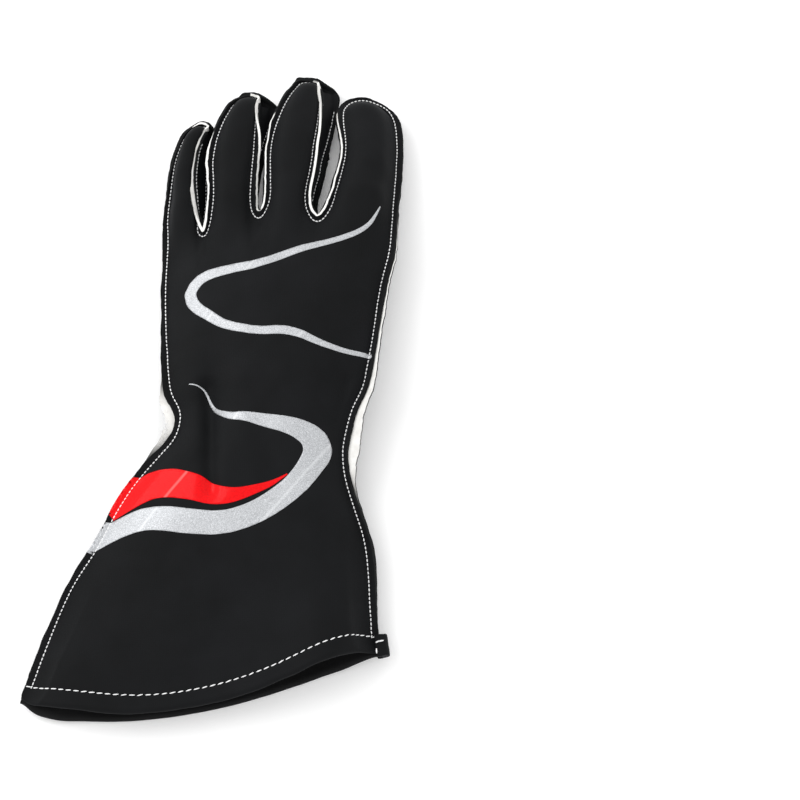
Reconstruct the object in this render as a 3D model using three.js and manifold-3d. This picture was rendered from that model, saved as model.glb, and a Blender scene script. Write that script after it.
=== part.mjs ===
// A left-hand karting glove with its seams on the outside and a long flared cuff.
// It lies palm down, with the thumb tucked under the palm. The fingers point along +Y, the thumb
// side is +X, the cuff opens towards -Y, and Z is up. The origin is the middle of the underside.
// Each cloth panel is a sheet of four-sided facets, thickened into a closed shell. Two panels that
// are sewn together meet in a flange: both run on past the seam, side by side, to a raw cut edge.
import * as THREE from "three";
import { mergeVertices } from "three/addons/utils/BufferGeometryUtils.js";
import Module from "manifold-3d";

// Driving sizes in millimetres
const HAND_WIDTH = 117; // seam to seam at the finger roots
const WRIST_WIDTH = 86; // seam to seam at the gathered wrist
const MOUTH_WIDTH = 166; // seam to seam at the cuff's mouth
const PALM_LENGTH = 110; // wrist to finger roots
const CUFF_LENGTH = 147.5; // wrist to the mouth's little-finger corner
const CUFF_SWING = 34; // how far the mouth lies to the little-finger side of the hand
const MOUTH_BOW = 14; // how far the hem curves out past its two corners
const LITTLE_LENGTH = 56.5; // each finger, from its root to the seam at its tip
const RING_LENGTH = 69;
const MIDDLE_LENGTH = 76.5;
const INDEX_LENGTH = 68;
const FINGER_HEIGHT = 20; // floor to the back of a finger
const SEAM_HEIGHT = 20; // floor to the side seam on the thumb side
const BACK_RISE = 13; // how far the back arches over its side seams
const KNIT_WALL = 1.6; // black knit with a white foam backing
const SUEDE_WALL = 1.4; // palm and thumb
const SIDE_STRIP_WALL = 1.2; // strips between the fingers
const SEAM_GAP = 0.3; // between two layers that are sewn together
const FLANGE_WIDTH = 4; // seam to cut edge
const LOW_FLANGE_WIDTH = 3; // the same on the palm side of a gap between fingers
const HEM_DEPTH = 9; // cloth folded in at the mouth
const HEM_STEP = 1.5; // length over which the folded cloth ends
const HEM_WALL = 1.6; // the folded layer
const THUMB_LENGTH = 62; // from the middle of its opening to its tip
const THUMB_WIDTH = 30;
const THUMB_HEIGHT = 14; // as it lies flattened under the palm
const THUMB_TURN = 135; // degrees from +X to the way that the tucked thumb points
const TAB_LENGTH = 10.5; // folded end of the side seam at the cuff's thumb-side corner
const TAB_REACH = 4.4; // how far the tab stands out past the flange
const TAB_WALL = 1.3;
const FILM_GAP = 0.3; // printed film over the knit
const FILM_WALL = 0.4;
const UPPER_STRIPE_WIDTH = 6.3; // at its widest
const LOWER_STRIPE_WIDTH = 12.5;
const FLASH_WIDTH = 15;

const radians = THREE.MathUtils.degToRad;
const mix = THREE.MathUtils.lerp;
const smooth = (t) => THREE.MathUtils.smoothstep(t, 0, 1);
const P = (x, y, z) => new THREE.Vector3(x, y, z);

// Turns rows of numbers into rows with named columns.
function table(columns, rows) {
  return rows.map((row) => Object.fromEntries(columns.map((name, k) => [name, row[k]])));
}

// Sections of the cuff and palm, from the mouth to just under the finger roots.
// left and right: distance of each end from the wrist, as a share of the cuff's or palm's length.
// spread: 0 at the wrist's width, 1 at the mouth's or the hand's. swing and bow: shares of theirs.
const CUFF_OUTLINE = table(
  ["left", "right", "spread", "swing", "bow"],
  [
    [1, 0.84, 1, 1, 1],
    [0.82, 0.68, 0.88, 0.895, 0.85],
    [0.62, 0.54, 0.73, 0.755, 0.65],
    [0.48, 0.44, 0.56, 0.61, 0.45],
    [0.335, 0.335, 0.37, 0.53, 0.3],
    [0.235, 0.245, 0.2, 0.45, 0.15],
    [0.155, 0.165, 0.06, 0.33, 0.05],
    [0.085, 0.09, -0.02, 0.2, 0],
    [0, 0, 0, 0.11, 0],
  ],
);
const PALM_OUTLINE = table(
  ["left", "right", "spread", "swing", "bow"],
  [
    [0.085, 0.1, 0.3, 0.1, 0],
    [0.15, 0.2, 0.45, 0.1, 0],
    [0.29, 0.34, 0.6, 0.09, 0],
    [0.48, 0.51, 0.73, 0.08, 0],
    [0.64, 0.655, 0.84, 0.05, 0],
    [0.79, 0.8, 0.93, 0, 0],
  ],
);
// Heights of the same sections. seamLeft and seamRight: shares of the seam height.
// backLeft to backRight: how far the back arches there, as shares of the back's rise.
// palmLeft to palmRight: how far the palm is lifted over the tucked thumb, 1 just clearing it.
const HEIGHT_COLUMNS = [
  "seamLeft", "seamRight", "backLeft", "backMiddle", "backRight", "palmLeft", "palmMiddle", "palmRight",
];
const CUFF_HEIGHTS = table(HEIGHT_COLUMNS, [
  [0.25, 0.42, 0.4, 0.65, 1.3, 0, 0, 0],
  [0.33, 0.46, 0.5, 0.8, 1.2, 0, 0, 0],
  [0.4, 0.5, 0.6, 0.9, 1.1, 0, 0, 0],
  [0.45, 0.55, 0.7, 0.95, 1, 0, 0, 0],
  [0.5, 0.63, 0.75, 0.95, 0.95, 0, 0, 0],
  [0.5, 0.7, 0.75, 0.9, 0.88, 0, 0, 0.1],
  [0.53, 0.76, 0.7, 0.88, 0.8, 0, 0, 0.3],
  [0.55, 0.82, 0.67, 0.87, 0.76, 0, 0.2, 0.65],
  [0.55, 0.9, 0.67, 0.9, 0.76, 0, 0.8, 1.02],
]);
const PALM_HEIGHTS = table(HEIGHT_COLUMNS, [
  [0.52, 0.95, 0.7, 0.95, 0.8, 0, 1, 1.06],
  [0.5, 1, 0.74, 0.98, 0.84, 0, 1.05, 1.06],
  [0.47, 1.02, 0.77, 1, 0.85, 0.1, 1.06, 1.06],
  [0.45, 1.02, 0.77, 1, 0.85, 0.3, 1.08, 1.06],
  [0.45, 1, 0.73, 0.96, 0.85, 0.3, 1.06, 1],
  [0.45, 0.96, 0.66, 0.85, 0.8, 0, 0.7, 0.8],
]);
// How the side flanges stand: turn is 0 degrees flat and 90 upright. bare: how much further the
// palm's layer reaches than the back's, as a share of the flange, so that its white inside shows.
const FLANGE_COLUMNS = ["turnLeft", "turnRight", "bareLeft", "bareRight"];
const CUFF_FLANGES = table(FLANGE_COLUMNS, [
  [0, 0, 0, 0],
  [5, 12, 0, 0],
  [8, 25, 0, 0],
  [8, 30, 0, 0],
  [8, 35, 0, 0],
  [8, 38, 0, 0.5],
  [5, 35, 0.4, 1],
  [5, 35, 0.7, 0.9],
  [0, 42, 0.8, 0.7],
]);
const PALM_FLANGES = table(FLANGE_COLUMNS, [
  [0, 48, 0.6, 0.6],
  [5, 50, 0.1, 0.4],
  [5, 50, 0, 0.3],
  [5, 48, 0, 0.2],
  [5, 42, 0, 0],
  [5, 28, 0, 0],
]);

// Fingers, from the little finger to the index. from and to: shares of the hand's width at the
// root. root: share of the palm's length. rise: lift of the root by the thumb under the palm, as a
// share of the finger's height. Each section gives the left and right seam from the finger's middle
// and how far the palm's right seam leans out past the back's, as shares of the root's width, and how
// the two flanges turn.
const FINGER_COLUMNS = ["along", "left", "right", "lean", "turnLeft", "turnRight"];
const FINGERS = [
  {
    name: "little", length: LITTLE_LENGTH, from: 0, to: 0.13, root: 0.985, height: 0.86, rise: 0,
    sections: table(FINGER_COLUMNS, [
      [0, -0.48, 0.5, 0.08, 5, 80],
      [0.2, -0.45, 0.4, 0.22, 10, 96],
      [0.4, -0.41, 0.32, 0.3, 25, 98],
      [0.6, -0.32, 0.35, 0.28, 40, 98],
      [0.8, -0.12, 0.5, 0.2, 45, 96],
      [0.93, 0.13, 0.63, 0.18, 45, 92],
      [1, 0.36, 0.66, 0, 50, 70],
    ]),
  },
  {
    name: "ring", length: RING_LENGTH, from: 0.2, to: 0.37, root: 1.03, height: 1, rise: 0.1,
    sections: table(FINGER_COLUMNS, [
      [0, -0.46, 0.5, 0, 30, 35],
      [0.2, -0.46, 0.47, 0, 25, 35],
      [0.4, -0.5, 0.5, 0.02, 22, 38],
      [0.6, -0.42, 0.54, 0.12, 25, 55],
      [0.8, -0.22, 0.58, 0.26, 35, 88],
      [0.93, 0, 0.63, 0.32, 45, 96],
      [1, 0.2, 0.66, 0, 60, 90],
    ]),
  },
  {
    name: "middle", length: MIDDLE_LENGTH, from: 0.46, to: 0.615, root: 1.045, height: 1, rise: 0.3,
    sections: table(FINGER_COLUMNS, [
      [0, -0.5, 0.5, 0.08, 35, 55],
      [0.2, -0.5, 0.6, 0.12, 35, 60],
      [0.4, -0.51, 0.69, 0.18, 32, 66],
      [0.6, -0.39, 0.81, 0.26, 30, 75],
      [0.8, -0.13, 0.89, 0.32, 30, 90],
      [0.93, 0.13, 0.88, 0.32, 35, 96],
      [1, 0.26, 0.84, 0, 50, 90],
    ]),
  },
  {
    name: "index", length: INDEX_LENGTH, from: 0.735, to: 1, root: 1.01, height: 1, rise: 0.4,
    sections: table(FINGER_COLUMNS, [
      [0, -0.5, 0.5, 0, 45, 12],
      [0.2, -0.39, 0.53, 0, 45, 5],
      [0.4, -0.3, 0.55, 0, 42, 5],
      [0.6, -0.28, 0.56, 0, 38, 5],
      [0.8, -0.32, 0.53, 0, 28, 8],
      [0.93, -0.3, 0.39, 0, 15, 8],
      [1, -0.2, 0.17, 0, 12, 10],
    ]),
  },
];
// Heights along every finger, as shares of the finger's height: the back's seam over the gap
// between fingers, the top of the back, the palm's seam, and the seam of an outer side.
const FINGER_HEIGHTS = table(
  ["top", "crown", "low", "outer"],
  [
    [0.7, 1, 0.2, 0.45],
    [0.7, 1, 0.2, 0.45],
    [0.68, 0.98, 0.2, 0.45],
    [0.65, 0.94, 0.2, 0.44],
    [0.59, 0.86, 0.21, 0.42],
    [0.48, 0.7, 0.25, 0.39],
    [0.36, 0.36, 0.36, 0.36],
  ],
);
// The lowest point of the seam between two fingers, as a share of the palm's length.
const WEB_FLOORS = [0.9, 0.968, 0.945];
// Main dents of the back: a long valley beside each side seam, drawn in by the gathered wrist.
// x is a share of half the wrist's width, y and reach of the palm's length, depth of the rise.
const BACK_DENTS = table(
  ["x", "y", "reach", "width", "depth"],
  [
    [-0.7, 0.02, 0.26, 0.09, 0.3],
    [0.85, -0.02, 0.22, 0.09, 0.25],
  ],
);
// Printed stripes, as outlines on the back seen from above. x is a share of the hand's width from
// its middle, y a share of the palm's length from the wrist, wide a share of the stripe's width.
const STRIPE_COLUMNS = ["x", "y", "wide"];
const UPPER_STRIPE = table(STRIPE_COLUMNS, [
  [0.45, 0.989, 0.08],
  [0.417, 0.917, 0.27],
  [0.369, 0.864, 0.4],
  [0.262, 0.814, 0.48],
  [0.085, 0.757, 0.65],
  [-0.08, 0.694, 0.72],
  [-0.239, 0.67, 0.85],
  [-0.333, 0.64, 0.93],
  [-0.38, 0.572, 1],
  [-0.36, 0.508, 0.94],
  [-0.292, 0.447, 0.86],
  [-0.217, 0.394, 0.76],
  [-0.077, 0.353, 0.7],
  [0.033, 0.35, 0.74],
  [0.101, 0.332, 0.68],
  [0.208, 0.28, 0.5],
  [0.319, 0.249, 0.4],
  [0.403, 0.245, 0.37],
]);
const LOWER_STRIPE = table(STRIPE_COLUMNS, [
  [-0.371, 0.124, 0.03],
  [-0.331, 0.114, 0.05],
  [-0.299, 0.088, 0.09],
  [-0.277, 0.038, 0.11],
  [-0.247, -0.008, 0.16],
  [-0.183, -0.046, 0.3],
  [-0.125, -0.054, 0.38],
  [-0.034, -0.076, 0.53],
  [0.072, -0.103, 0.7],
  [0.132, -0.13, 0.86],
  [0.174, -0.165, 1.05],
  [0.19, -0.212, 1.14],
  [0.167, -0.272, 1],
  [0.108, -0.365, 0.95],
  [0.022, -0.446, 0.95],
  [-0.074, -0.509, 0.92],
  [-0.2, -0.55, 0.94],
  [-0.347, -0.541, 1],
  [-0.447, -0.525, 1],
  [-0.533, -0.522, 0.94],
  [-0.623, -0.546, 0.85],
  [-0.698, -0.576, 0.85],
  [-0.8, -0.62, 0.9],
]);
const RED_FLASH = table(STRIPE_COLUMNS, [
  [0.065, -0.327, 0.02],
  [-0.009, -0.373, 0.2],
  [-0.071, -0.399, 0.31],
  [-0.144, -0.422, 0.46],
  [-0.206, -0.426, 0.62],
  [-0.267, -0.411, 0.77],
  [-0.32, -0.386, 0.9],
  [-0.377, -0.369, 0.98],
  [-0.437, -0.356, 1.03],
  [-0.502, -0.358, 1.03],
  [-0.552, -0.375, 1],
  [-0.605, -0.398, 1.03],
  [-0.7, -0.44, 1.1],
]);

// Columns of facets across the hand: four on each finger and three on each web between fingers.
const FINGER_STEPS = [0, 0.24, 0.5, 0.76, 1];
const WEB_STEPS = [1 / 3, 2 / 3];
const CROWN = [0, 0.8, 1, 0.8, 0];
const COLUMNS_A_FINGER = FINGER_STEPS.length - 1 + WEB_STEPS.length + 1;
const COLUMN_SHARES = FINGERS.flatMap((finger, f) => {
  const next = FINGERS[f + 1];
  const own = FINGER_STEPS.map((t) => mix(finger.from, finger.to, t));
  return next ? own.concat(WEB_STEPS.map((t) => mix(finger.to, next.from, t))) : own;
});
const LAST_COLUMN = COLUMN_SHARES.length - 1;
const FINGER_ROWS = FINGER_HEIGHTS.length;
const BACK = 1;
const PALM = -1;

const arch = (u) => 1 - Math.abs(2 * u - 1) ** 4;
const bowShape = (u) => Math.sin(Math.PI * u ** 0.8);
function across(left, middle, right, u) {
  return u < 0.5 ? mix(left, middle, smooth(u / 0.5)) : mix(middle, right, smooth(u / 0.5 - 1));
}

// One section of the cuff or palm: its two seam ends, heights and flanges.
function section(outline, heights, flanges, length, farWidth) {
  const width = mix(WRIST_WIDTH, farWidth, outline.spread);
  const middle = -CUFF_SWING * outline.swing;
  return {
    left: P(middle - width / 2, length * outline.left, SEAM_HEIGHT * heights.seamLeft),
    right: P(middle + width / 2, length * outline.right, SEAM_HEIGHT * heights.seamRight),
    bow: MOUTH_BOW * outline.bow,
    heights,
    flanges,
    folded: 0,
  };
}

function moved(from, next, distance, folded) {
  const step = (a, b) => a.clone().addScaledVector(b.clone().sub(a).normalize(), distance);
  return { ...from, left: step(from.left, next.left), right: step(from.right, next.right), folded };
}

function bodySections() {
  const cuff = CUFF_OUTLINE.map((row, k) =>
    section(row, CUFF_HEIGHTS[k], CUFF_FLANGES[k], -CUFF_LENGTH, MOUTH_WIDTH),
  );
  const palm = PALM_OUTLINE.map((row, k) =>
    section(row, PALM_HEIGHTS[k], PALM_FLANGES[k], PALM_LENGTH, HAND_WIDTH),
  );
  const [mouth, next] = cuff;
  const hem = [
    { ...mouth, folded: 1 },
    moved(mouth, next, HEM_DEPTH, 1),
    moved(mouth, next, HEM_DEPTH + HEM_STEP, 0),
  ];
  return hem.concat(cuff.slice(1), palm);
}
const SECTIONS = bodySections();

const PALM_LIFT = THUMB_HEIGHT + SEAM_GAP;
function dentDepth(x, y) {
  return BACK_DENTS.reduce((sum, dent) => {
    const dx = (x - (dent.x * WRIST_WIDTH) / 2) / (dent.width * WRIST_WIDTH);
    const dy = (y - dent.y * PALM_LENGTH) / (dent.reach * PALM_LENGTH);
    return sum + dent.depth * BACK_RISE * Math.exp(-dx * dx - dy * dy);
  }, 0);
}

// A point of the back's or the palm's inner face, u running from the left seam to the right one.
function bodyPoint(row, u, side) {
  const { left, right, bow, heights: h } = SECTIONS[row];
  const point = left.clone().lerp(right, u);
  point.y -= bow * bowShape(u);
  const seam = point.z;
  if (side === BACK) {
    const rise = BACK_RISE * across(h.backLeft, h.backMiddle, h.backRight, u);
    point.z = seam + (rise - dentDepth(point.x, point.y)) * arch(u);
  } else {
    const rest = SUEDE_WALL + PALM_LIFT * across(h.palmLeft, h.palmMiddle, h.palmRight, u);
    point.z = mix(seam, rest, arch(u));
  }
  point.z += (side * SEAM_GAP) / 2;
  return point;
}

// A point of finger f on section row, in column k of its five.
function fingerPoint(f, row, k, side) {
  const finger = FINGERS[f];
  const s = finger.sections[row];
  const h = FINGER_HEIGHTS[row];
  const rootMiddle = mix(SECTIONS.at(-1).left.x, SECTIONS.at(-1).right.x, 0.5);
  const width = (finger.to - finger.from) * HAND_WIDTH;
  const middle = rootMiddle + (mix(finger.from, finger.to, 0.5) - 0.5) * HAND_WIDTH;
  const t = FINGER_STEPS[k];
  const high = FINGER_HEIGHT * finger.height;
  const lift = FINGER_HEIGHT * finger.rise * (1 - s.along) ** 1.5;
  const outerLeft = f === 0;
  const outerRight = f === FINGERS.length - 1;
  const x = middle + width * mix(s.left, s.right, t);
  const tipRound = 0.06; // how far the seam's corners at the tip lie behind its middle
  const tipDrop = tipRound * width * s.along ** 4 * (2 * t - 1) ** 2;
  const y = PALM_LENGTH * finger.root + finger.length * s.along - tipDrop;
  if (side === BACK) {
    const seam = t < 0.5 ? (outerLeft ? h.outer : h.top) : outerRight ? h.outer : h.top;
    return P(x, y, lift + high * mix(seam, h.crown, CROWN[k]) + SEAM_GAP / 2);
  }
  const seam = t < 0.5 ? (outerLeft ? h.outer : h.low) : outerRight ? h.outer : h.low;
  const lean = width * s.lean * smooth(t);
  const rising = 0.8; // share of the finger from which its underside rises to the tip's seam
  const belly = mix(SUEDE_WALL, high * h.outer, smooth((s.along - rising) / (1 - rising)));
  const onSeam = k === 0 || k === FINGER_STEPS.length - 1;
  return P(x + lean, y, lift + (onSeam ? high * seam : belly) - SEAM_GAP / 2);
}

// A point of the web between finger f and the next one, at the top of the palm or back.
function webPoint(f, k, side) {
  const a = fingerPoint(f, 0, FINGER_STEPS.length - 1, side);
  const b = fingerPoint(f + 1, 0, 0, side);
  const point = a.clone().lerp(b, WEB_STEPS[k]);
  const squeeze = 0.9; // brings the two lowest points together, which rounds the end of the gap
  point.x = mix((a.x + b.x) / 2, point.x, squeeze);
  point.y = PALM_LENGTH * WEB_FLOORS[f];
  return point;
}

// The last row of the body, where the fingers and webs begin.
function rootPoint(column, side) {
  const f = Math.floor(column / COLUMNS_A_FINGER);
  const k = column % COLUMNS_A_FINGER;
  return k < FINGER_STEPS.length ? fingerPoint(f, 0, k, side) : webPoint(f, k - FINGER_STEPS.length, side);
}

// A sheet of four-sided facets, held as its inner face. wall is how far the outer face stands off
// each point, and hem how much the cloth is folded to the inside there.
class Sheet {
  points = [];
  walls = [];
  hems = [];
  quads = [];

  add(point, wall, hem = 0) {
    this.walls.push(wall);
    this.hems.push(hem);
    return this.points.push(point) - 1;
  }

  // side is 1 if the corners run counter-clockwise seen from outside. Each facet is split from its
  // first corner to its third, and two sheets that are sewn together are split the same way.
  quad([a, b, c, d], side) {
    this.quads.push(side > 0 ? [a, b, c, d] : [a, d, c, b]);
  }

  // Unit normals at the points, lengthened at a bend so that the wall keeps its thickness.
  normals() {
    const longest = 1.3;
    const faces = this.quads.map(([a, b, c, d]) => {
      const one = this.points[c].clone().sub(this.points[a]);
      const two = this.points[d].clone().sub(this.points[b]);
      return one.cross(two);
    });
    const sums = this.points.map(() => P(0, 0, 0));
    this.quads.forEach((quad, q) => quad.forEach((i) => sums[i].add(faces[q].clone().normalize())));
    sums.forEach((sum) => sum.normalize());
    const least = this.points.map(() => 1);
    this.quads.forEach((quad, q) => {
      const unit = faces[q].clone().normalize();
      quad.forEach((i) => (least[i] = Math.min(least[i], unit.dot(sums[i]))));
    });
    return sums.map((sum, i) => sum.multiplyScalar(Math.min(longest, 1 / Math.max(least[i], 0.1))));
  }

  geometry() {
    const normals = this.normals();
    const count = this.points.length;
    const outer = this.points.map((p, i) => p.clone().addScaledVector(normals[i], this.walls[i]));
    const inner = this.points.map((p, i) => p.clone().addScaledVector(normals[i], -this.hems[i]));
    const triangles = [];
    const split = (a, b, c, d) => triangles.push(a, b, c, a, c, d);
    const edges = new Map();
    for (const [a, b, c, d] of this.quads) {
      split(a, b, c, d);
      split(a + count, d + count, c + count, b + count);
      [[a, b], [b, c], [c, d], [d, a]].forEach(([i, j]) => edges.set(`${i} ${j}`, [i, j]));
    }
    for (const [i, j] of edges.values()) {
      if (!edges.has(`${j} ${i}`)) split(j, i, i + count, j + count);
    }
    const made = new THREE.BufferGeometry();
    made.setAttribute(
      "position",
      new THREE.Float32BufferAttribute([...outer, ...inner].flatMap((p) => p.toArray()), 3),
    );
    made.setIndex(triangles);
    return made;
  }
}

// The seam runs up the little-finger side, round every fingertip and gap, and down the thumb side.
// Each stop names its point and how its flange turns. low marks the sides of the gaps.
function seamStops(body, fingers) {
  const stops = [];
  const rows = SECTIONS.length;
  const last = FINGER_STEPS.length - 1;
  for (let row = 0; row < rows; row++) {
    const { turnLeft, bareLeft } = SECTIONS[row].flanges;
    stops.push({ id: body[row][0], turn: turnLeft, bare: bareLeft, low: false });
  }
  FINGERS.forEach((finger, f) => {
    const openLeft = f > 0;
    const openRight = f < FINGERS.length - 1;
    const tip = FINGER_ROWS - 1;
    for (let row = 0; row <= tip; row++) {
      const low = openLeft && row < tip;
      stops.push({ id: fingers[f][row][0], turn: finger.sections[row].turnLeft, bare: 0, low });
    }
    for (let k = 1; k < last; k++) {
      const turn = mix(finger.sections[tip].turnLeft, finger.sections[tip].turnRight, FINGER_STEPS[k]);
      stops.push({ id: fingers[f][tip][k], turn, bare: 0, low: false });
    }
    for (let row = tip; row >= 0; row--) {
      const low = openRight && row < tip;
      stops.push({ id: fingers[f][row][last], turn: finger.sections[row].turnRight, bare: 0, low });
    }
    if (openRight) {
      const from = finger.sections[0].turnRight;
      const to = FINGERS[f + 1].sections[0].turnLeft;
      WEB_STEPS.forEach((t, k) => {
        const id = body[rows][COLUMNS_A_FINGER * f + last + 1 + k];
        stops.push({ id, turn: mix(from, to, t), bare: 0, low: true, web: true });
      });
    }
  });
  for (let row = rows - 1; row >= 0; row--) {
    const { turnRight, bareRight } = SECTIONS[row].flanges;
    stops.push({ id: body[row][LAST_COLUMN], turn: turnRight, bare: bareRight, low: false });
  }
  return stops;
}

// The way a flange runs out from the seam at stop i, flat on the ground plan. It is longer than 1
// at a corner that the seam goes round, so that the flange keeps its width there.
function outward(points, stops, i) {
  const at = points[stops[i].id];
  const before = points[stops[Math.max(i - 1, 0)].id];
  const after = points[stops[Math.min(i + 1, stops.length - 1)].id];
  const out = P(before.y - after.y, after.x - before.x, 0).normalize();
  const towardsGap = 0.65; // flanges at the end of a gap point up it, so that they don't cross
  if (stops[i].web) return out.lerp(P(0, 1, 0), towardsGap).normalize();
  const arriving = at.clone().sub(before).setZ(0).normalize();
  const leaving = after.clone().sub(at).setZ(0).normalize();
  const longest = 1.25;
  return out.multiplyScalar(Math.min(longest, Math.sqrt(2 / (1 + Math.max(arriving.dot(leaving), 0)))));
}

// The two directions of a flange that is turned by turn degrees from flat.
function flangeAxes(out, turn) {
  const angle = radians(turn);
  const flat = out.clone().normalize();
  return {
    along: flat.clone().multiplyScalar(Math.cos(angle)).setZ(Math.sin(angle)).multiplyScalar(out.length()),
    normal: flat.clone().multiplyScalar(-Math.sin(angle)).setZ(Math.cos(angle)),
  };
}

// The cut edge of a flange, on one side of the sewn middle.
function cutEdge(seamMiddle, out, turn, width, side) {
  const { along, normal } = flangeAxes(out, turn);
  return seamMiddle.clone().addScaledVector(along, width).addScaledVector(normal, (side * SEAM_GAP) / 2);
}

// Rows and columns of palm facets left out for the thumb, from the first up to the one after.
const HOLE = { rows: [10, 14], columns: [20, 24] };
const within = ([first, after], k) => k >= first && k < after;
const inHole = (row, column) => within(HOLE.rows, row) && within(HOLE.columns, column);

// The back or the palm, in one piece from the fingertips to the hem, with its flange. Where the two
// are sewn to each other, the palm's flange takes its directions from the back's, lead.
function handSheet(side, wall, lead) {
  const sheet = new Sheet();
  const rows = SECTIONS.length;
  const body = SECTIONS.map(({ folded }, row) =>
    COLUMN_SHARES.map((u, column) => {
      const hem = folded * HEM_WALL * Math.min(1, column / 2, (LAST_COLUMN - column) / 2);
      return sheet.add(bodyPoint(row, u, side), wall, hem);
    }),
  );
  body.push(COLUMN_SHARES.map((_, column) => sheet.add(rootPoint(column, side), wall)));
  const fingers = FINGERS.map((_, f) =>
    FINGER_HEIGHTS.map((_, row) =>
      FINGER_STEPS.map((_, k) =>
        row === 0 ? body[rows][COLUMNS_A_FINGER * f + k] : sheet.add(fingerPoint(f, row, k, side), wall),
      ),
    ),
  );
  for (let row = 0; row < rows; row++) {
    for (let c = 0; c < LAST_COLUMN; c++) {
      if (side === PALM && inHole(row, c)) continue;
      sheet.quad([body[row][c], body[row][c + 1], body[row + 1][c + 1], body[row + 1][c]], side);
    }
  }
  fingers.forEach((finger) => {
    for (let row = 0; row < FINGER_ROWS - 1; row++) {
      for (let k = 0; k < FINGER_STEPS.length - 1; k++) {
        sheet.quad([finger[row][k], finger[row][k + 1], finger[row + 1][k + 1], finger[row + 1][k]], side);
      }
    }
  });
  const stops = seamStops(body, fingers);
  const outs = stops.map((stop, i) => (lead && !stop.low ? lead[i] : outward(sheet.points, stops, i)));
  const edge = stops.map((stop, i) => {
    const low = stop.low && side === PALM;
    const bare = side === PALM ? stop.bare : 0;
    const width = low ? LOW_FLANGE_WIDTH : FLANGE_WIDTH * (1 + bare);
    const middle = sheet.points[stop.id].clone();
    middle.z -= (side * SEAM_GAP) / 2;
    return sheet.add(cutEdge(middle, outs[i], low ? 0 : stop.turn, width, side), wall);
  });
  for (let i = 0; i < stops.length - 1; i++) {
    if (stops[i].id === stops[i + 1].id) continue;
    sheet.quad([edge[i], stops[i].id, stops[i + 1].id, edge[i + 1]], side);
  }
  return { sheet, body, stops, outs, edge };
}

// The strip that walls both fingers at a gap, from one fingertip round the gap to the other.
function sideStrip(gap, back, palm) {
  const sheet = new Sheet();
  const tip = FINGER_ROWS - 1;
  const isEnd = (i) => back.stops[i].low;
  const path = [];
  let group = -1;
  back.stops.forEach((stop, i) => {
    if (!isEnd(i)) return;
    if (i === 0 || !isEnd(i - 1)) group += 1;
    if (group === gap) path.push(i);
  });
  const bulge = 0.08; // how far the wall swells into the gap, as a share of its height
  const lines = path.map((i) => {
    const out = back.outs[i];
    const lowOut = palm.outs[i];
    const top = back.sheet.points[back.stops[i].id].clone();
    const low = palm.sheet.points[palm.stops[i].id].clone();
    top.z -= SEAM_GAP / 2;
    low.z += SEAM_GAP / 2;
    const upper = cutEdge(top, out, back.stops[i].turn, FLANGE_WIDTH, -1);
    const lower = cutEdge(low, lowOut, 0, LOW_FLANGE_WIDTH, 1);
    const middle = top.clone().lerp(low, 0.5).addScaledVector(out, bulge * (top.z - low.z));
    top.addScaledVector(flangeAxes(out, back.stops[i].turn).normal, -SEAM_GAP / 2).z -= SEAM_GAP / 2;
    low.z += SEAM_GAP;
    return [upper, top, middle, low, lower].map((p) => sheet.add(p, SIDE_STRIP_WALL));
  });
  for (let i = 0; i < lines.length - 1; i++) {
    for (let k = 0; k < lines[i].length - 1; k++) {
      const [a, b, c, d] = [lines[i][k], lines[i][k + 1], lines[i + 1][k + 1], lines[i + 1][k]];
      sheet.quad(k < 2 ? [a, b, c, d] : [b, c, d, a], -1);
    }
  }
  return sheet;
}

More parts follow.
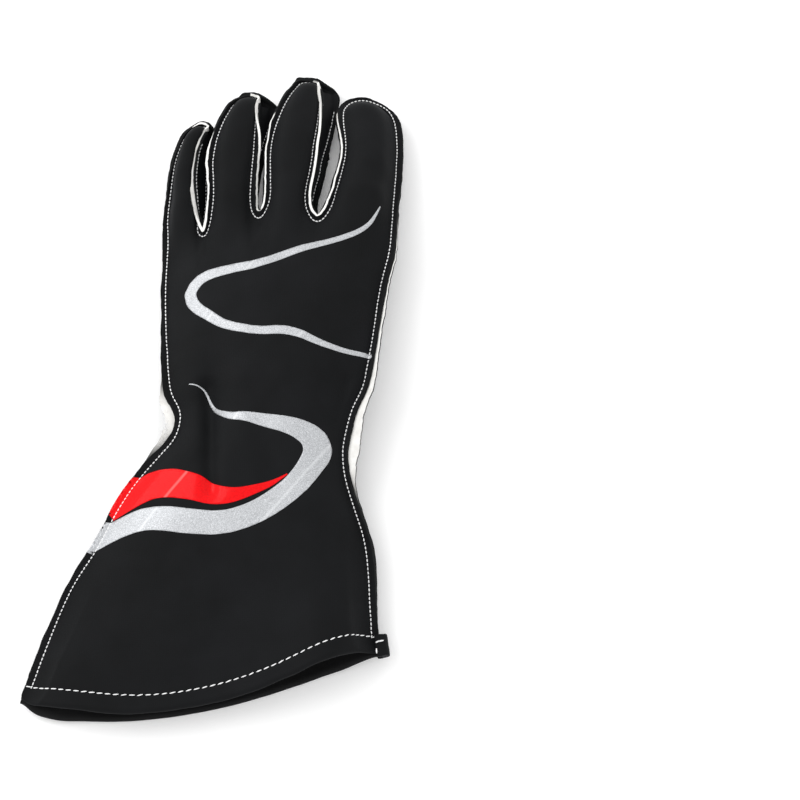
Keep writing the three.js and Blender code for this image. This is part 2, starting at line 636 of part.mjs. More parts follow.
// The thumb: a collar in the palm's opening, an elbow, and a flattened tube under the palm.
function thumbSheet(palm) {
  const sheet = new Sheet();
  const [firstRow, lastRow] = HOLE.rows;
  const [firstColumn, lastColumn] = HOLE.columns;
  const ids = [];
  for (let c = firstColumn; c < lastColumn; c++) ids.push(palm.body[firstRow][c]);
  for (let r = firstRow; r < lastRow; r++) ids.push(palm.body[r][lastColumn]);
  for (let c = lastColumn; c > firstColumn; c--) ids.push(palm.body[lastRow][c]);
  for (let r = lastRow; r > firstRow; r--) ids.push(palm.body[r][firstColumn]);
  const rim = ids.map((id) => palm.sheet.points[id]);
  const centre = rim.reduce((sum, p) => sum.add(p), P(0, 0, 0)).divideScalar(rim.length);
  const ahead = P(Math.cos(radians(THUMB_TURN)), Math.sin(radians(THUMB_TURN)), 0);
  const aside = P(-ahead.y, ahead.x, 0);
  const inset = SUEDE_WALL + 2 * SEAM_GAP;
  const collar = (drop) =>
    rim.map((p, j) => {
      const inward = (a, b) => P(a.y - b.y, b.x - a.x, 0).normalize();
      const one = inward(rim.at(j - 1), p);
      const two = inward(p, rim[(j + 1) % rim.length]);
      const corner = inset / (1 + one.dot(two));
      return p.clone().addScaledVector(one.add(two), corner).add(P(0, 0, -drop));
    });
  const angles = rim.map((p) => {
    const from = p.clone().sub(centre);
    return Math.atan2(from.dot(ahead), from.dot(aside));
  });
  const reach = Math.max(...rim.map((p) => p.clone().sub(centre).dot(ahead)));
  const hinge = reach - inset * 2;
  const top = THUMB_HEIGHT - SUEDE_WALL;
  const bottom = SUEDE_WALL;
  const half = (top - bottom) / 2;
  // Sections of the tube: how far its top lies from the opening's middle, how far its bottom lies
  // behind its top, its width, and the heights of both, shares of the room under the palm.
  const tube = table(
    ["ahead", "behind", "wide", "high", "low"],
    [
      [hinge / THUMB_LENGTH, 1.35 * reach, 1.15, 0.85, 0.12],
      [hinge / THUMB_LENGTH + 0.04, 0.55 * reach, 1.08, 0.9, 0],
      [hinge / THUMB_LENGTH + 0.1, 0.1 * reach, 1, 0.95, 0],
      [0.68, 0, 0.96, 1, 0],
      [0.86, 0, 0.84, 0.96, 0.02],
      [0.95, 0, 0.6, 0.86, 0.1],
      [1 - (SUEDE_WALL * 1.5) / THUMB_LENGTH, 0, 0.26, 0.66, 0.3],
    ],
  );
  const loops = [collar(0), collar(2 * SUEDE_WALL + 2 * SEAM_GAP)].concat(
    tube.map((s) =>
      angles.map((angle) => {
        const squareness = 0.8; // below 1 squares the oval's corners off
        const round = (v) => Math.sign(v) * Math.abs(v) ** squareness;
        const x = round(Math.cos(angle));
        const y = (round(Math.sin(angle)) + 1) / 2;
        const wide = (THUMB_WIDTH / 2 - SUEDE_WALL) * s.wide;
        const forward = THUMB_LENGTH * s.ahead - s.behind * (1 - y);
        const point = centre.clone().addScaledVector(aside, x * wide).addScaledVector(ahead, forward);
        return point.setZ(bottom + 2 * half * mix(s.low, s.high, y));
      }),
    ),
  );
  const rings = loops.map((loop) => loop.map((p) => sheet.add(p, SUEDE_WALL)));
  rings.slice(1).forEach((ring, k) => {
    const above = rings[k];
    ring.forEach((_, j) => {
      const n = (j + 1) % ring.length;
      sheet.quad([above[j], above[n], ring[n], ring[j]], -1);
    });
  });
  // The end cap joins the points of the last ring in rows of four-sided facets.
  const end = rings.at(-1);
  for (let j = 0; j < end.length / 2 - 1; j++) {
    sheet.quad([end[j], end[j + 1], end[end.length - 2 - j], end[end.length - 1 - j]], -1);
  }
  return sheet;
}

const wasm = await Module();
wasm.setup();
function solid(geometry) {
  const bare = geometry.index ? geometry.toNonIndexed() : geometry.clone();
  bare.deleteAttribute("normal");
  bare.deleteAttribute("uv");
  const merged = mergeVertices(bare, 1e-4);
  const triVerts = new Uint32Array(merged.index.array);
  const vertProperties = merged.attributes.position.array;
  return new wasm.Manifold(new wasm.Mesh({ numProp: 3, vertProperties, triVerts }));
}
function geometryOf(manifold) {
  const mesh = manifold.getMesh();
  const made = new THREE.BufferGeometry();
  made.setAttribute("position", new THREE.BufferAttribute(mesh.vertProperties.slice(), 3));
  made.setIndex(new THREE.BufferAttribute(mesh.triVerts.slice(), 1));
  return made;
}

// A stripe's outline: its middle line widened to both sides. Inside a tight bend, where the side
// would run back on itself, it keeps to the points that go forward.
function stripeShape(rows, width) {
  const line = new THREE.CatmullRomCurve3(
    rows.map((row) => P(row.x * HAND_WIDTH, row.y * PALM_LENGTH, row.wide * width)),
  );
  const steps = rows.length * 2;
  const thinnest = 0.05 * width;
  const left = [];
  const right = [];
  for (let i = 0; i <= steps; i++) {
    const at = line.getPoint(i / steps);
    const along = line.getTangent(i / steps).setZ(0).normalize();
    const half = Math.max(at.z, thinnest) / 2;
    [[left, half], [right, -half]].forEach(([side, aside]) => {
      const point = new THREE.Vector2(at.x - along.y * aside, at.y + along.x * aside);
      if (!side.length || point.clone().sub(side.at(-1)).dot(along) > 0) side.push(point);
    });
  }
  return new THREE.Shape(left.concat(right.reverse()));
}

// Printed film: the stripe's outline pressed onto the back, a constant gap above it.
function film(back, rows, width) {
  const lift = (distance) => {
    const normals = back.sheet.normals();
    return back.sheet.points.map((p, i) => p.clone().addScaledVector(normals[i], distance));
  };
  const shell = new Sheet();
  lift(KNIT_WALL + FILM_GAP).forEach((p) => shell.add(p, FILM_WALL));
  shell.quads = back.sheet.quads;
  const block = new THREE.ExtrudeGeometry(stripeShape(rows, width), {
    depth: SEAM_HEIGHT + 2 * BACK_RISE + FINGER_HEIGHT,
    bevelEnabled: false,
  });
  const pieces = solid(shell.geometry()).intersect(solid(block)).decompose();
  return geometryOf(pieces.sort((a, b) => b.volume() - a.volume())[0]);
}

// The folded end of the side seam, clasping the flange at the cuff's thumb-side corner.
function tabGeometry() {
  const inside = 2 * Math.max(KNIT_WALL, SUEDE_WALL) + 3 * SEAM_GAP;
  const high = inside / 2 + TAB_WALL;
  const back = FLANGE_WIDTH / 2;
  const shape = new THREE.Shape();
  shape.moveTo(-back, high);
  shape.lineTo(SEAM_GAP + TAB_WALL / 2, high);
  shape.quadraticCurveTo(TAB_REACH, high, TAB_REACH, 0);
  shape.quadraticCurveTo(TAB_REACH, -high, SEAM_GAP + TAB_WALL / 2, -high);
  shape.lineTo(-back, -high);
  shape.lineTo(-back, -inside / 2);
  shape.lineTo(SEAM_GAP, -inside / 2);
  shape.lineTo(SEAM_GAP, inside / 2);
  shape.lineTo(-back, inside / 2);
  shape.closePath();
  const made = new THREE.ExtrudeGeometry(shape, { depth: TAB_LENGTH, bevelEnabled: false, curveSegments: 3 });
  return made.translate(0, 0, -TAB_LENGTH / 2).rotateX(Math.PI / 2);
}

const knit = new THREE.MeshStandardMaterial({ color: 0x17181a, roughness: 0.85, metalness: 0 });
const suede = new THREE.MeshStandardMaterial({ color: 0x1b1b1c, roughness: 0.95, metalness: 0 });
const silver = new THREE.MeshStandardMaterial({ color: 0xc4c6ca, roughness: 0.38, metalness: 0.5 });
const red = new THREE.MeshStandardMaterial({ color: 0xe01822, roughness: 0.3, metalness: 0 });

const glove = new THREE.Group();
function part(name, geometry, material) {
  const mesh = new THREE.Mesh(geometry, material);
  mesh.name = name;
  glove.add(mesh);
  return mesh;
}

const back = handSheet(BACK, KNIT_WALL);
const palm = handSheet(PALM, SUEDE_WALL, back.outs);
part("back_panel", back.sheet.geometry(), knit);
part("palm_panel", palm.sheet.geometry(), suede);
["ring_little", "middle_ring", "index_middle"].forEach((name, gap) => {
  part(`side_strip_${name}`, sideStrip(gap, back, palm).geometry(), knit);
});
part("thumb", thumbSheet(palm).geometry(), suede);
part("upper_stripe", film(back, UPPER_STRIPE, UPPER_STRIPE_WIDTH), silver);
part("lower_stripe", film(back, LOWER_STRIPE, LOWER_STRIPE_WIDTH), silver);
part("red_flash", film(back, RED_FLASH, FLASH_WIDTH), red);

const corner = back.edge.at(-1);
const above = back.edge.at(-2);
const start = back.sheet.points[corner];
const seamWay = back.sheet.points[above].clone().sub(start).normalize();
const tab = part("corner_tab", tabGeometry(), knit);
tab.position.copy(start).addScaledVector(seamWay, TAB_LENGTH / 2);
tab.rotation.z = Math.atan2(seamWay.y, seamWay.x) - Math.PI / 2;

// Brings the origin to the middle of the underside.
const box = new THREE.Box3().setFromObject(glove, true);
const middle = box.getCenter(P(0, 0, 0));
glove.position.set(-middle.x, -middle.y, -box.min.z);

export default glove;
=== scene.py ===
# %% [markdown]
# # A karting glove in foam-backed knit
# This file dresses a left-hand karting glove that lies palm down on a table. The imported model
# gives every cloth panel as a plain faceted shell. Here each shell gets the smooth surface, the
# seams, the stitches, the raw white edges and the printed stripes of the real glove.

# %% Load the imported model
import math
import random

import bmesh
import bpy
import numpy as np
from mathutils import Matrix, Vector, noise
from mathutils.bvhtree import BVHTree
from mathutils.kdtree import KDTree


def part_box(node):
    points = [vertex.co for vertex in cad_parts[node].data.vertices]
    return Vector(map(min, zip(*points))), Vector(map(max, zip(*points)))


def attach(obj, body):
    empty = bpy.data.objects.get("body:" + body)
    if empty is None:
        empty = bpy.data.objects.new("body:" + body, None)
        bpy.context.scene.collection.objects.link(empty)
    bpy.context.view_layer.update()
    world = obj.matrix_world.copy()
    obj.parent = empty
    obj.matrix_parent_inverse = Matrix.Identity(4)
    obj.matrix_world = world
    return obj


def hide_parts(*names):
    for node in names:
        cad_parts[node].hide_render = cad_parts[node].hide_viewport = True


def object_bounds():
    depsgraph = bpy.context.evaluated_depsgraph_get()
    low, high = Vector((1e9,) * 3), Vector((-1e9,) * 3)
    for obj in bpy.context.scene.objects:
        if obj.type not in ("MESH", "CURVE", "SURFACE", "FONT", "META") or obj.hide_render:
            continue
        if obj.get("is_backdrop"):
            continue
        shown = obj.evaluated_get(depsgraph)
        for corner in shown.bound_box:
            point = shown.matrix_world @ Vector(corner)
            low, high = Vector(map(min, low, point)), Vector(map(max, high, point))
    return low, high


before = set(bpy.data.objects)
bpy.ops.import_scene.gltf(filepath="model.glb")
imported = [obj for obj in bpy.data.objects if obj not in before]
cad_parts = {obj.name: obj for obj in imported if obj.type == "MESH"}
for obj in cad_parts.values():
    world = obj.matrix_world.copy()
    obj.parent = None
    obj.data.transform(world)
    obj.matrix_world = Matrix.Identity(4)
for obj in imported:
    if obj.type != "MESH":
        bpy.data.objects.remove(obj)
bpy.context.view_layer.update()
MM = 0.001  # the scene is in metres, and the sizes below are in millimetres

# %% [markdown]
# ## Camera
# The photograph looks down at the table at about 70 degrees, from just under a metre. The camera
# looks at a point to the right of the glove, so the glove keeps its place in the frame.

# %% Camera
LOOK_AT = Vector((91.6, -8.4, 0)) * MM
CAMERA_ELEVATION = math.radians(70)
CAMERA_DISTANCE = 950 * MM
FOCAL_PIXELS = 1850  # focal length in pixels of the 800-pixel frame
FRAME_PIXELS = 800
SENSOR_WIDTH = 36  # millimetres, as on a full-frame camera

camera_data = bpy.data.cameras.new("camera")
camera_data.sensor_width = SENSOR_WIDTH
camera_data.lens = FOCAL_PIXELS / FRAME_PIXELS * SENSOR_WIDTH
camera = bpy.data.objects.new("camera", camera_data)
away = Vector((0, -math.cos(CAMERA_ELEVATION), math.sin(CAMERA_ELEVATION)))
camera.location = LOOK_AT + away * CAMERA_DISTANCE
camera.rotation_mode = "QUATERNION"
camera.rotation_quaternion = (-away).to_track_quat("-Z", "Y")
bpy.context.scene.collection.objects.link(camera)
bpy.context.scene.camera = camera
print("Lens in mm:", round(camera_data.lens, 2))

# %% [markdown]
# ## Two helpers for materials
# Colours are picked as the hex values that a paint program shows. The renderer counts in linear
# light, so one function turns them over. A second one adds a shader node with its settings and
# links, so that each material reads as a short list.


# %% Colour and node helpers
def linear(hex_colour):
    """The linear colour, with alpha 1, of an sRGB hex value such as "1F2021", by the sRGB curve."""
    shares = [int(hex_colour[k : k + 2], 16) / 255 for k in (0, 2, 4)]
    return (*[s / 12.92 if s <= 0.04045 else ((s + 0.055) / 1.055) ** 2.4 for s in shares], 1)


def add(tree, kind, inputs=None, stops=(), **settings):
    """Adds a node. inputs maps a socket's name or number to a value or to another node's output.

    stops are the positions and colours of a colour ramp.
    """
    node = tree.nodes.new(kind)
    for name, value in settings.items():
        setattr(node, name, value)
    for key, value in (inputs or {}).items():
        if isinstance(value, bpy.types.NodeSocket):
            tree.links.new(value, node.inputs[key])
        else:
            node.inputs[key].default_value = value
    for k, (position, colour) in enumerate(stops):
        elements = node.color_ramp.elements
        element = elements[k] if k < len(elements) else elements.new(1)
        element.position = position
        element.color = colour
    return node


def new_material(name):
    """An empty material with its output, and its node tree."""
    material = bpy.data.materials.new(name)
    material.use_nodes = True
    tree = material.node_tree
    tree.nodes.clear()
    return material, tree


def finish_material(tree, shader):
    """Joins the finished shader to the material's output."""
    add(tree, "ShaderNodeOutputMaterial", {"Surface": shader.outputs["BSDF"]})

# %% [markdown]
# ## The cloth
# The glove is cut from a dense black scuba knit, laminated to a thin white foam. Knit is matte,
# with a faint sheen where fibres stand up, so the shader has high roughness, low specular and a
# little sheen. Its wales are about 0.4 mm apart. They are drawn 0.9 mm apart, because finer ones
# would not show at this distance. The palm is a brushed cloth with a raised nap, so to the eye it
# is greyer and softer: it has a coarser bump and more sheen. One function makes both.


# %% Black knit
WAVE_LENGTH = 2 * math.pi / 20  # metres between the bands of a wave texture at scale 1
FUZZ_SIZE = 1.2 * MM
WEAR_SIZE = 45 * MM  # worn and fresh patches of the black


def knit_bump(tree, wale_mm, depth_mm):
    """Rows of knit loops with a little fuzz, as a bump."""
    place = add(tree, "ShaderNodeTexCoord").outputs["Object"]
    rows = []
    for axis in ("X", "Y"):  # the wales, then the courses
        waves = add(tree, "ShaderNodeTexWave", {
            "Vector": place, "Scale": WAVE_LENGTH / (wale_mm * MM), "Distortion": 0.6,
            "Detail": 1, "Detail Scale": 0.4,
        }, bands_direction=axis)
        rows.append(waves.outputs["Fac"])
    loops = add(tree, "ShaderNodeMath", {0: rows[0], 1: rows[1]}, operation="MULTIPLY")
    fuzz = add(tree, "ShaderNodeTexNoise", {"Vector": place, "Scale": 1 / FUZZ_SIZE, "Detail": 3})
    height = add(tree, "ShaderNodeMath", {0: loops.outputs[0], 1: fuzz.outputs["Fac"]}, operation="ADD")
    bump = add(tree, "ShaderNodeBump", {
        "Strength": 0.6, "Distance": depth_mm * MM, "Height": height.outputs[0],
    })
    return place, bump.outputs["Normal"]


def black_cloth(name, dark, light, wale_mm, depth_mm, sheen):
    """Matte black cloth. dark and light are the hex colours of its fresh and worn patches."""
    material, tree = new_material(name)
    place, normal = knit_bump(tree, wale_mm, depth_mm)
    wear = add(tree, "ShaderNodeTexNoise", {
        "Vector": place, "Scale": 1 / WEAR_SIZE, "Detail": 4, "Roughness": 0.6,
    })
    colour = add(tree, "ShaderNodeValToRGB", {"Fac": wear.outputs["Fac"]},
                 stops=[(0.3, linear(dark)), (0.7, linear(light))])
    shader = add(tree, "ShaderNodeBsdfPrincipled", {
        "Base Color": colour.outputs["Color"], "Roughness": 0.7, "Specular IOR Level": 0.12, "Normal": normal,
        "Sheen Weight": sheen, "Sheen Roughness": 0.45, "Sheen Tint": linear("B9C0CC"),
    })
    finish_material(tree, shader)
    return material


knit_cloth = black_cloth("scuba_knit_black", "090A0B", "111214", 0.9, 0.05, 0.03)
palm_cloth = black_cloth("brushed_palm_cloth_black", "0E0E0E", "151516", 1.3, 0.07, 0.08)
print("Cloths:", knit_cloth.name, palm_cloth.name)

# %% [markdown]
# ## The foam backing and the cut edges
# Where the laminate is cut, its white foam shows beside the black knit. An attribute called depth
# runs from 0 on the outside of the cloth to 1 on the inside. The cut edge is black only over its
# outer part, a fifth of it on the back and nearly half of it on the palm, with a wavering border,
# as scissors leave it. Some edges and insides are faced with a black lining instead, and the
# attribute bare says where the white shows. Open-cell foam is rougher than the knit and has no
# sheen, and its small cells give it a grainy bump. The lining is tricot, a thin warp knit: the
# same cloth to the eye, but finer and flatter.

# %% Foam and cut edge
CELL_SIZE, CELL_DEPTH = 0.9 * MM, 0.12 * MM
PATCH_SIZE = 6 * MM  # foam yellows in small patches
WANDER_SIZE = 1.5 * MM  # the border on the cut edge wavers over this length
LINING_COLOUR = linear("121314")


def foam_shader(tree, colour):
    place = add(tree, "ShaderNodeTexCoord").outputs["Object"]
    cells = add(tree, "ShaderNodeTexNoise", {"Vector": place, "Scale": 1 / CELL_SIZE, "Detail": 3})
    bump = add(tree, "ShaderNodeBump", {
        "Strength": 0.5, "Distance": CELL_DEPTH, "Height": cells.outputs["Fac"],
    })
    return add(tree, "ShaderNodeBsdfPrincipled", {
        "Base Color": colour, "Roughness": 0.92, "Specular IOR Level": 0.2,
        "Normal": bump.outputs["Normal"],
    })


def over_lining(tree, white):
    """White foam where the attribute bare is 1, and a black knitted lining where it is 0."""
    bare = add(tree, "ShaderNodeAttribute", attribute_name="bare").outputs["Fac"]
    mix = add(tree, "ShaderNodeMix", {"Factor": bare, "A": LINING_COLOUR, "B": white}, data_type="RGBA")
    return mix.outputs["Result"]


def foam_material():
    material, tree = new_material("foam_backing_white")
    place = add(tree, "ShaderNodeTexCoord").outputs["Object"]
    patches = add(tree, "ShaderNodeTexNoise", {"Vector": place, "Scale": 1 / PATCH_SIZE, "Detail": 3})
    white = add(tree, "ShaderNodeValToRGB", {"Fac": patches.outputs["Fac"]},
                stops=[(0.3, linear("DFDDD9")), (0.65, linear("F4F3F0"))])
    finish_material(tree, foam_shader(tree, over_lining(tree, white.outputs["Color"])))
    return material


def cut_edge_material(name, black_share):
    """The laminate's section: black knit over black_share of it, and white foam on the rest."""
    material, tree = new_material(name)
    place = add(tree, "ShaderNodeTexCoord").outputs["Object"]
    depth = add(tree, "ShaderNodeAttribute", attribute_name="depth").outputs["Fac"]
    wander = add(tree, "ShaderNodeTexNoise", {"Vector": place, "Scale": 1 / WANDER_SIZE, "Detail": 2})
    shift = add(tree, "ShaderNodeMath", {0: wander.outputs["Fac"], 1: 0.3, 2: -0.15},
                operation="MULTIPLY_ADD")
    border = add(tree, "ShaderNodeMath", {0: depth, 1: shift.outputs[0]}, operation="ADD")
    black, white = linear("18191B"), linear("F3F2EF")
    section = add(tree, "ShaderNodeValToRGB", {"Fac": border.outputs[0]},
                  stops=[(black_share - 0.04, black), (black_share + 0.04, white)])
    finish_material(tree, foam_shader(tree, over_lining(tree, section.outputs["Color"])))
    return material


foam = foam_material()
cut_edge = cut_edge_material("cut_edge_of_back", 0.2)
palm_edge = cut_edge_material("cut_edge_of_palm", 0.45)
lining = black_cloth("tricot_lining_black", "0E0E0F", "161617", 0.8, 0.03, 0.05)
print("Edges:", foam.name, cut_edge.name, palm_edge.name, lining.name)

# %% [markdown]
# ## From a faceted shell to one sheet of quads
# The model's shells are loose triangles. Merged and joined in pairs they are quads again, which
# subdivide well. Only the outside of each panel is kept: the wall's inside and its cut edges are
# made anew by Solidify, after the surface is smooth. An edge crosses the wall if the faces at its
# two ends look opposite ways, and the faces beside such an edge are the cut edge.

# %% Outer sheets
MERGE = 0.002 * MM
ONE_WALL = 2.2 * MM  # longer than any edge across a single layer of cloth
HEM_WALLS = 4.3 * MM  # the same where the hem is folded in
TURNED, TURNED_AT_HEM = -0.5, -0.9  # cosines between the faces at the ends of an edge across a wall


def cad_quads(name, lowest_up=-1):
    """A copy of a node with its triangles joined. Faces that look less upwards than asked are left out."""
    bm = bmesh.new()
    bm.from_mesh(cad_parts[name].data)
    bmesh.ops.remove_doubles(bm, verts=bm.verts, dist=MERGE)
    bm.normal_update()
    away = [face for face in bm.faces if face.normal.z < lowest_up]
    bmesh.ops.delete(bm, geom=away, context="FACES")
    bmesh.ops.join_triangles(bm, faces=bm.faces, angle_face_threshold=math.pi,
                             angle_shape_threshold=math.pi, topology_influence=1)
    return bm


def far_normal(vert, edge):
    """The mean normal of the faces at vert that don't touch edge."""
    normals = [face.normal for face in vert.link_faces if face not in edge.link_faces]
    return sum(normals, Vector()).normalized()


def crosses_wall(edge):
    ends = far_normal(edge.verts[0], edge).dot(far_normal(edge.verts[1], edge))
    length = edge.calc_length()
    return (length < ONE_WALL and ends < TURNED) or (length < HEM_WALLS and ends < TURNED_AT_HEM)


def connected(faces):
    """The groups of faces that share edges. A dict keeps its order, so every run gives the same."""
    left, groups = dict.fromkeys(faces), []
    while left:
        group = [left.popitem()[0]]
        for face in group:
            for edge in face.edges:
                for other in edge.link_faces:
                    if other in left:
                        del left[other]
                        group.append(other)
        groups.append(group)
    return groups


def outer_sheet(name, outwards):
    """The outside of a panel. outwards gives the way that the outside looks at a point."""
    bm = cad_quads(name)
    walls = [edge for edge in bm.edges if crosses_wall(edge)]
    cut = {face for edge in walls for face in edge.link_faces}
    sheets = connected(face for face in bm.faces if face not in cut)

    def looking_out(faces):
        return sum(f.normal.dot(outwards(f.calc_center_median())) * f.calc_area() for f in faces)

    kept = set(max(sheets, key=looking_out))
    bmesh.ops.delete(bm, geom=[face for face in bm.faces if face not in kept], context="FACES")
    bm.edges.layers.float.new("crease_edge")
    wall_share = bm.verts.layers.deform.verify()
    for vert in bm.verts:
        vert[wall_share][0] = 1
    print(name, "sheets", [len(sheet) for sheet in sheets], "kept", len(bm.faces))
    return bm

# %% [markdown]
# ## The open edges of a sheet
# What is sewn, folded or trimmed follows a sheet's open edge, so the edge is wanted as a row of
# points in order. Blender keeps edges in no order that helps, so each loop is walked from one edge
# to the next. A spoke is the edge that leads from the rim to the next row of points.


# %% Open edges
def boundary_loops(bm):
    """The open edges as closed loops of vertices in order, the longest first."""
    left, loops = dict.fromkeys(edge for edge in bm.edges if edge.is_boundary), []
    while left:
        loop = list(left.popitem()[0].verts)
        while True:
            onward = next((edge for edge in loop[-1].link_edges if edge in left), None)
            if onward is None:
                break
            del left[onward]
            loop.append(onward.other_vert(loop[-1]))
        if loop[0] is loop[-1]:
            loop.pop()
        loops.append(loop)
    return sorted(loops, key=len, reverse=True)


def settle_order(bm):
    """Sorts everything by place, because some operators add points in a new order each time."""
    by_place = sorted(bm.verts, key=lambda vert: [round(c / MERGE) for c in vert.co])
    rank = {vert: k for k, vert in enumerate(by_place)}
    bm.verts.sort(key=lambda vert: rank[vert])
    for elements in (bm.edges, bm.faces):
        in_order = sorted(elements, key=lambda element: sorted(rank[vert] for vert in element.verts))
        place = {element: k for k, element in enumerate(in_order)}
        elements.sort(key=lambda element: place[element])
    bm.verts.index_update()


def spoke(vert, rim):
    """The nearest vertex just inside the rim, or None at a corner."""
    inside = [edge.other_vert(vert) for edge in vert.link_edges if edge.other_vert(vert) not in rim]
    return min(inside, key=lambda other: (other.co - vert.co).length, default=None)

# %% [markdown]
# ## Seams
# The panels are sewn with their wrong sides together, so that no seam presses on the driver's
# fingers. The two layers run on past the stitches as a narrow upright or flat flange. On each sheet
# the flange is the outermost ring of facets, so the seam runs through the vertices just inside the
# rim. They are kept as runs of (seam point, cut-edge point) pairs before anything is subdivided.

# %% Seam runs
LONGEST_FLANGE = 8.3 * MM  # the widest flange, and less than the depth of the hem


def seam_runs(bm, longest):
    """Runs of (seam vertex, rim vertex) along the flanges, which are no wider than longest."""
    rim = boundary_loops(bm)[0]
    around = set(rim)
    pairs = [(spoke(vert, around), vert) for vert in rim]
    on_flange = [s is not None and (s.co - v.co).length < longest for s, v in pairs]
    if all(on_flange):
        return [pairs + pairs[:1]]
    start = on_flange.index(False)
    runs, run = [], []
    for k in range(len(pairs) + 1):
        where = (start + k) % len(pairs)
        if on_flange[where]:
            run.append(pairs[where])
        elif run:
            runs.append(run)
            run = []
    return [run for run in runs if len(run) > 2]


def as_points(runs):
    """The same runs as copies of the points, with doubled seam points left out."""
    copies = []
    for run in runs:
        kept = [pair for k, pair in enumerate(run) if k == 0 or pair[0] is not run[k - 1][0]]
        copies.append([(seam.co.copy(), rim.co.copy()) for seam, rim in kept])
    return copies


def crease_seams(bm, runs, weight):
    """Keeps the bend between the cloth and its flange when the sheet is subdivided."""
    crease = bm.edges.layers.float.get("crease_edge")
    for run in runs:
        for (a, _), (b, _) in zip(run, run[1:]):
            edge = bm.edges.get((a, b)) if a is not b else None
            if edge:
                edge[crease] = weight


# %% [markdown]
# ## The hem
# At the mouth of the cuff the knit is folded in and stitched down 9 mm from the fold. A shell with
# a thick square rim looks like a plank, so the hem is folded as a sewer folds it: the rim of the
# sheet is extruded four times, twice round a half circle and twice back along the inside. Near
# the side seams four layers meet, so the fold is pressed flatter there.

# %% Fold the hem
FOLD_RADIUS = 1.6 * MM
FLAT_SHARE = 0.5  # the fold's radius at the side seams, as a share
FLAT_REACH = 14 * MM  # how far from the seams it is pressed flatter
HEM_ALLOWANCE = 1.5 * MM  # cloth past the hem's stitches, inside
FILLED_SHARE = 0.9  # how much of the fold's radius the wall may fill
SPREAD_SHARE = 0.4  # where the row past the stitches lies between its two neighbours
FOLD_STEPS = [(90, 0), (180, 0), (180, 0.35), (180, 1)]  # degrees round the fold, share of the way back


def mouth_chain(bm):
    """The rim vertices at the cuff's mouth in order, corners included, with the vertex inside each."""
    rim = boundary_loops(bm)[0]
    around = set(rim)
    inside = {vert: spoke(vert, around) for vert in rim}
    at_mouth = [v for v in rim if inside[v] and (inside[v].co - v.co).length > LONGEST_FLANGE]
    first = next(k for k, v in enumerate(rim) if v in at_mouth and rim[k - 1] not in at_mouth)
    ordered = [rim[(first + k) % len(rim)] for k in range(-2, len(at_mouth) + 2)]
    before, *chain, after = ordered
    inside[chain[0]], inside[chain[-1]] = before, after
    return chain, inside


def onward(vert, came_from):
    """The neighbour that lies straightest on from came_from through vert."""
    way = (vert.co - came_from.co).normalized()
    neighbours = [edge.other_vert(vert) for edge in vert.link_edges]
    return max(neighbours, key=lambda other: (other.co - vert.co).normalized().dot(way))


def spread_row(chain, inside):
    """Moves on the row just past the hem's stitches. A crowded row makes a crimp when smoothed."""
    for vert in chain:
        close = onward(inside[vert], vert)
        close.co = inside[vert].co.lerp(onward(close, inside[vert]).co, SPREAD_SHARE)


def add_hem_row(bm, chain, inside):
    """One more row of points keeps the hem flat between its fold and its stitches."""
    bm.verts.index_update()
    numbers = [(vert.index, inside[vert].index) for vert in chain]
    across = [bm.edges.get((vert, inside[vert])) for vert in chain]
    bmesh.ops.subdivide_edges(bm, edges=across, cuts=1)
    bm.verts.ensure_lookup_table()  # the operator made the old references void
    return [bm.verts[v] for v, _ in numbers], {bm.verts[v]: bm.verts[w] for v, w in numbers}


def fold_hem(bm, wall):
    """Folds the mouth in, and returns the points of the hem's stitch line."""
    chain, inside = mouth_chain(bm)
    spread_row(chain, inside)
    chain, inside = add_hem_row(bm, chain, inside)
    bm.normal_update()
    group = bm.verts.layers.deform.active
    lengths = [0.0]
    for a, b in zip(chain, chain[1:]):
        lengths.append(lengths[-1] + (b.co - a.co).length)
    radius, place, inner, inner_normal = {}, {}, {}, {}
    for vert, along in zip(chain, lengths):
        from_end = min(along, lengths[-1] - along)
        radius[vert] = FOLD_RADIUS * (FLAT_SHARE + (1 - FLAT_SHARE) * min(1, from_end / FLAT_REACH))
        place[vert] = (vert.co.copy(), vert.normal.copy(), (inside[vert].co - vert.co).normalized())
        inner[vert], inner_normal[vert] = inside[vert].co.copy(), inside[vert].normal.copy()
    hem_stitches = [inner[v].copy() for v in chain]
    for vert in chain:
        start, normal, inwards = place[vert]
        vert.co = start + inwards * radius[vert]
        vert[group][0] = inside[vert][group][0] = min(1, radius[vert] * FILLED_SHARE / wall)
    ring = {vert: vert for vert in chain}
    for angle, share in FOLD_STEPS:
        turn = math.radians(angle)
        edges = [bm.edges.get((a, b)) for a, b in zip(ring, list(ring)[1:])]
        made = bmesh.ops.extrude_edge_only(bm, edges=edges)["geom"]
        fresh = {v for v in made if isinstance(v, bmesh.types.BMVert)}
        next_ring = {}
        for old, root in ring.items():
            new = next(e.other_vert(old) for e in old.link_edges if e.other_vert(old) in fresh)
            r = radius[root]
            start, normal, inwards = place[root]
            centre = start + (inwards - normal) * r
            end_of_fold = centre + (normal * math.cos(turn) - inwards * math.sin(turn)) * r
            end_of_cloth = inner[root] + inwards * HEM_ALLOWANCE - inner_normal[root] * 2 * r
            new.co = end_of_fold.lerp(end_of_cloth, share)
            new[group][0] = min(1, r * FILLED_SHARE / wall)
            next_ring[new] = root
        ring = next_ring
    bm.normal_update()
    return hem_stitches


# %% [markdown]
# ## A smooth surface through the model's points
# Subdivision pulls a surface in from its cage, by more than a millimetre at a fingertip. So the
# cage is moved out a few times by what is missing, until the smooth surface passes through the
# points that the cage had at first. Blender keeps a cage's own vertices first in the fine mesh.

# %% Smooth surface through a cage
LEVELS = 3
PASSES = 8
STEP_SHARE = 0.9  # each pass mends this share of what is missing


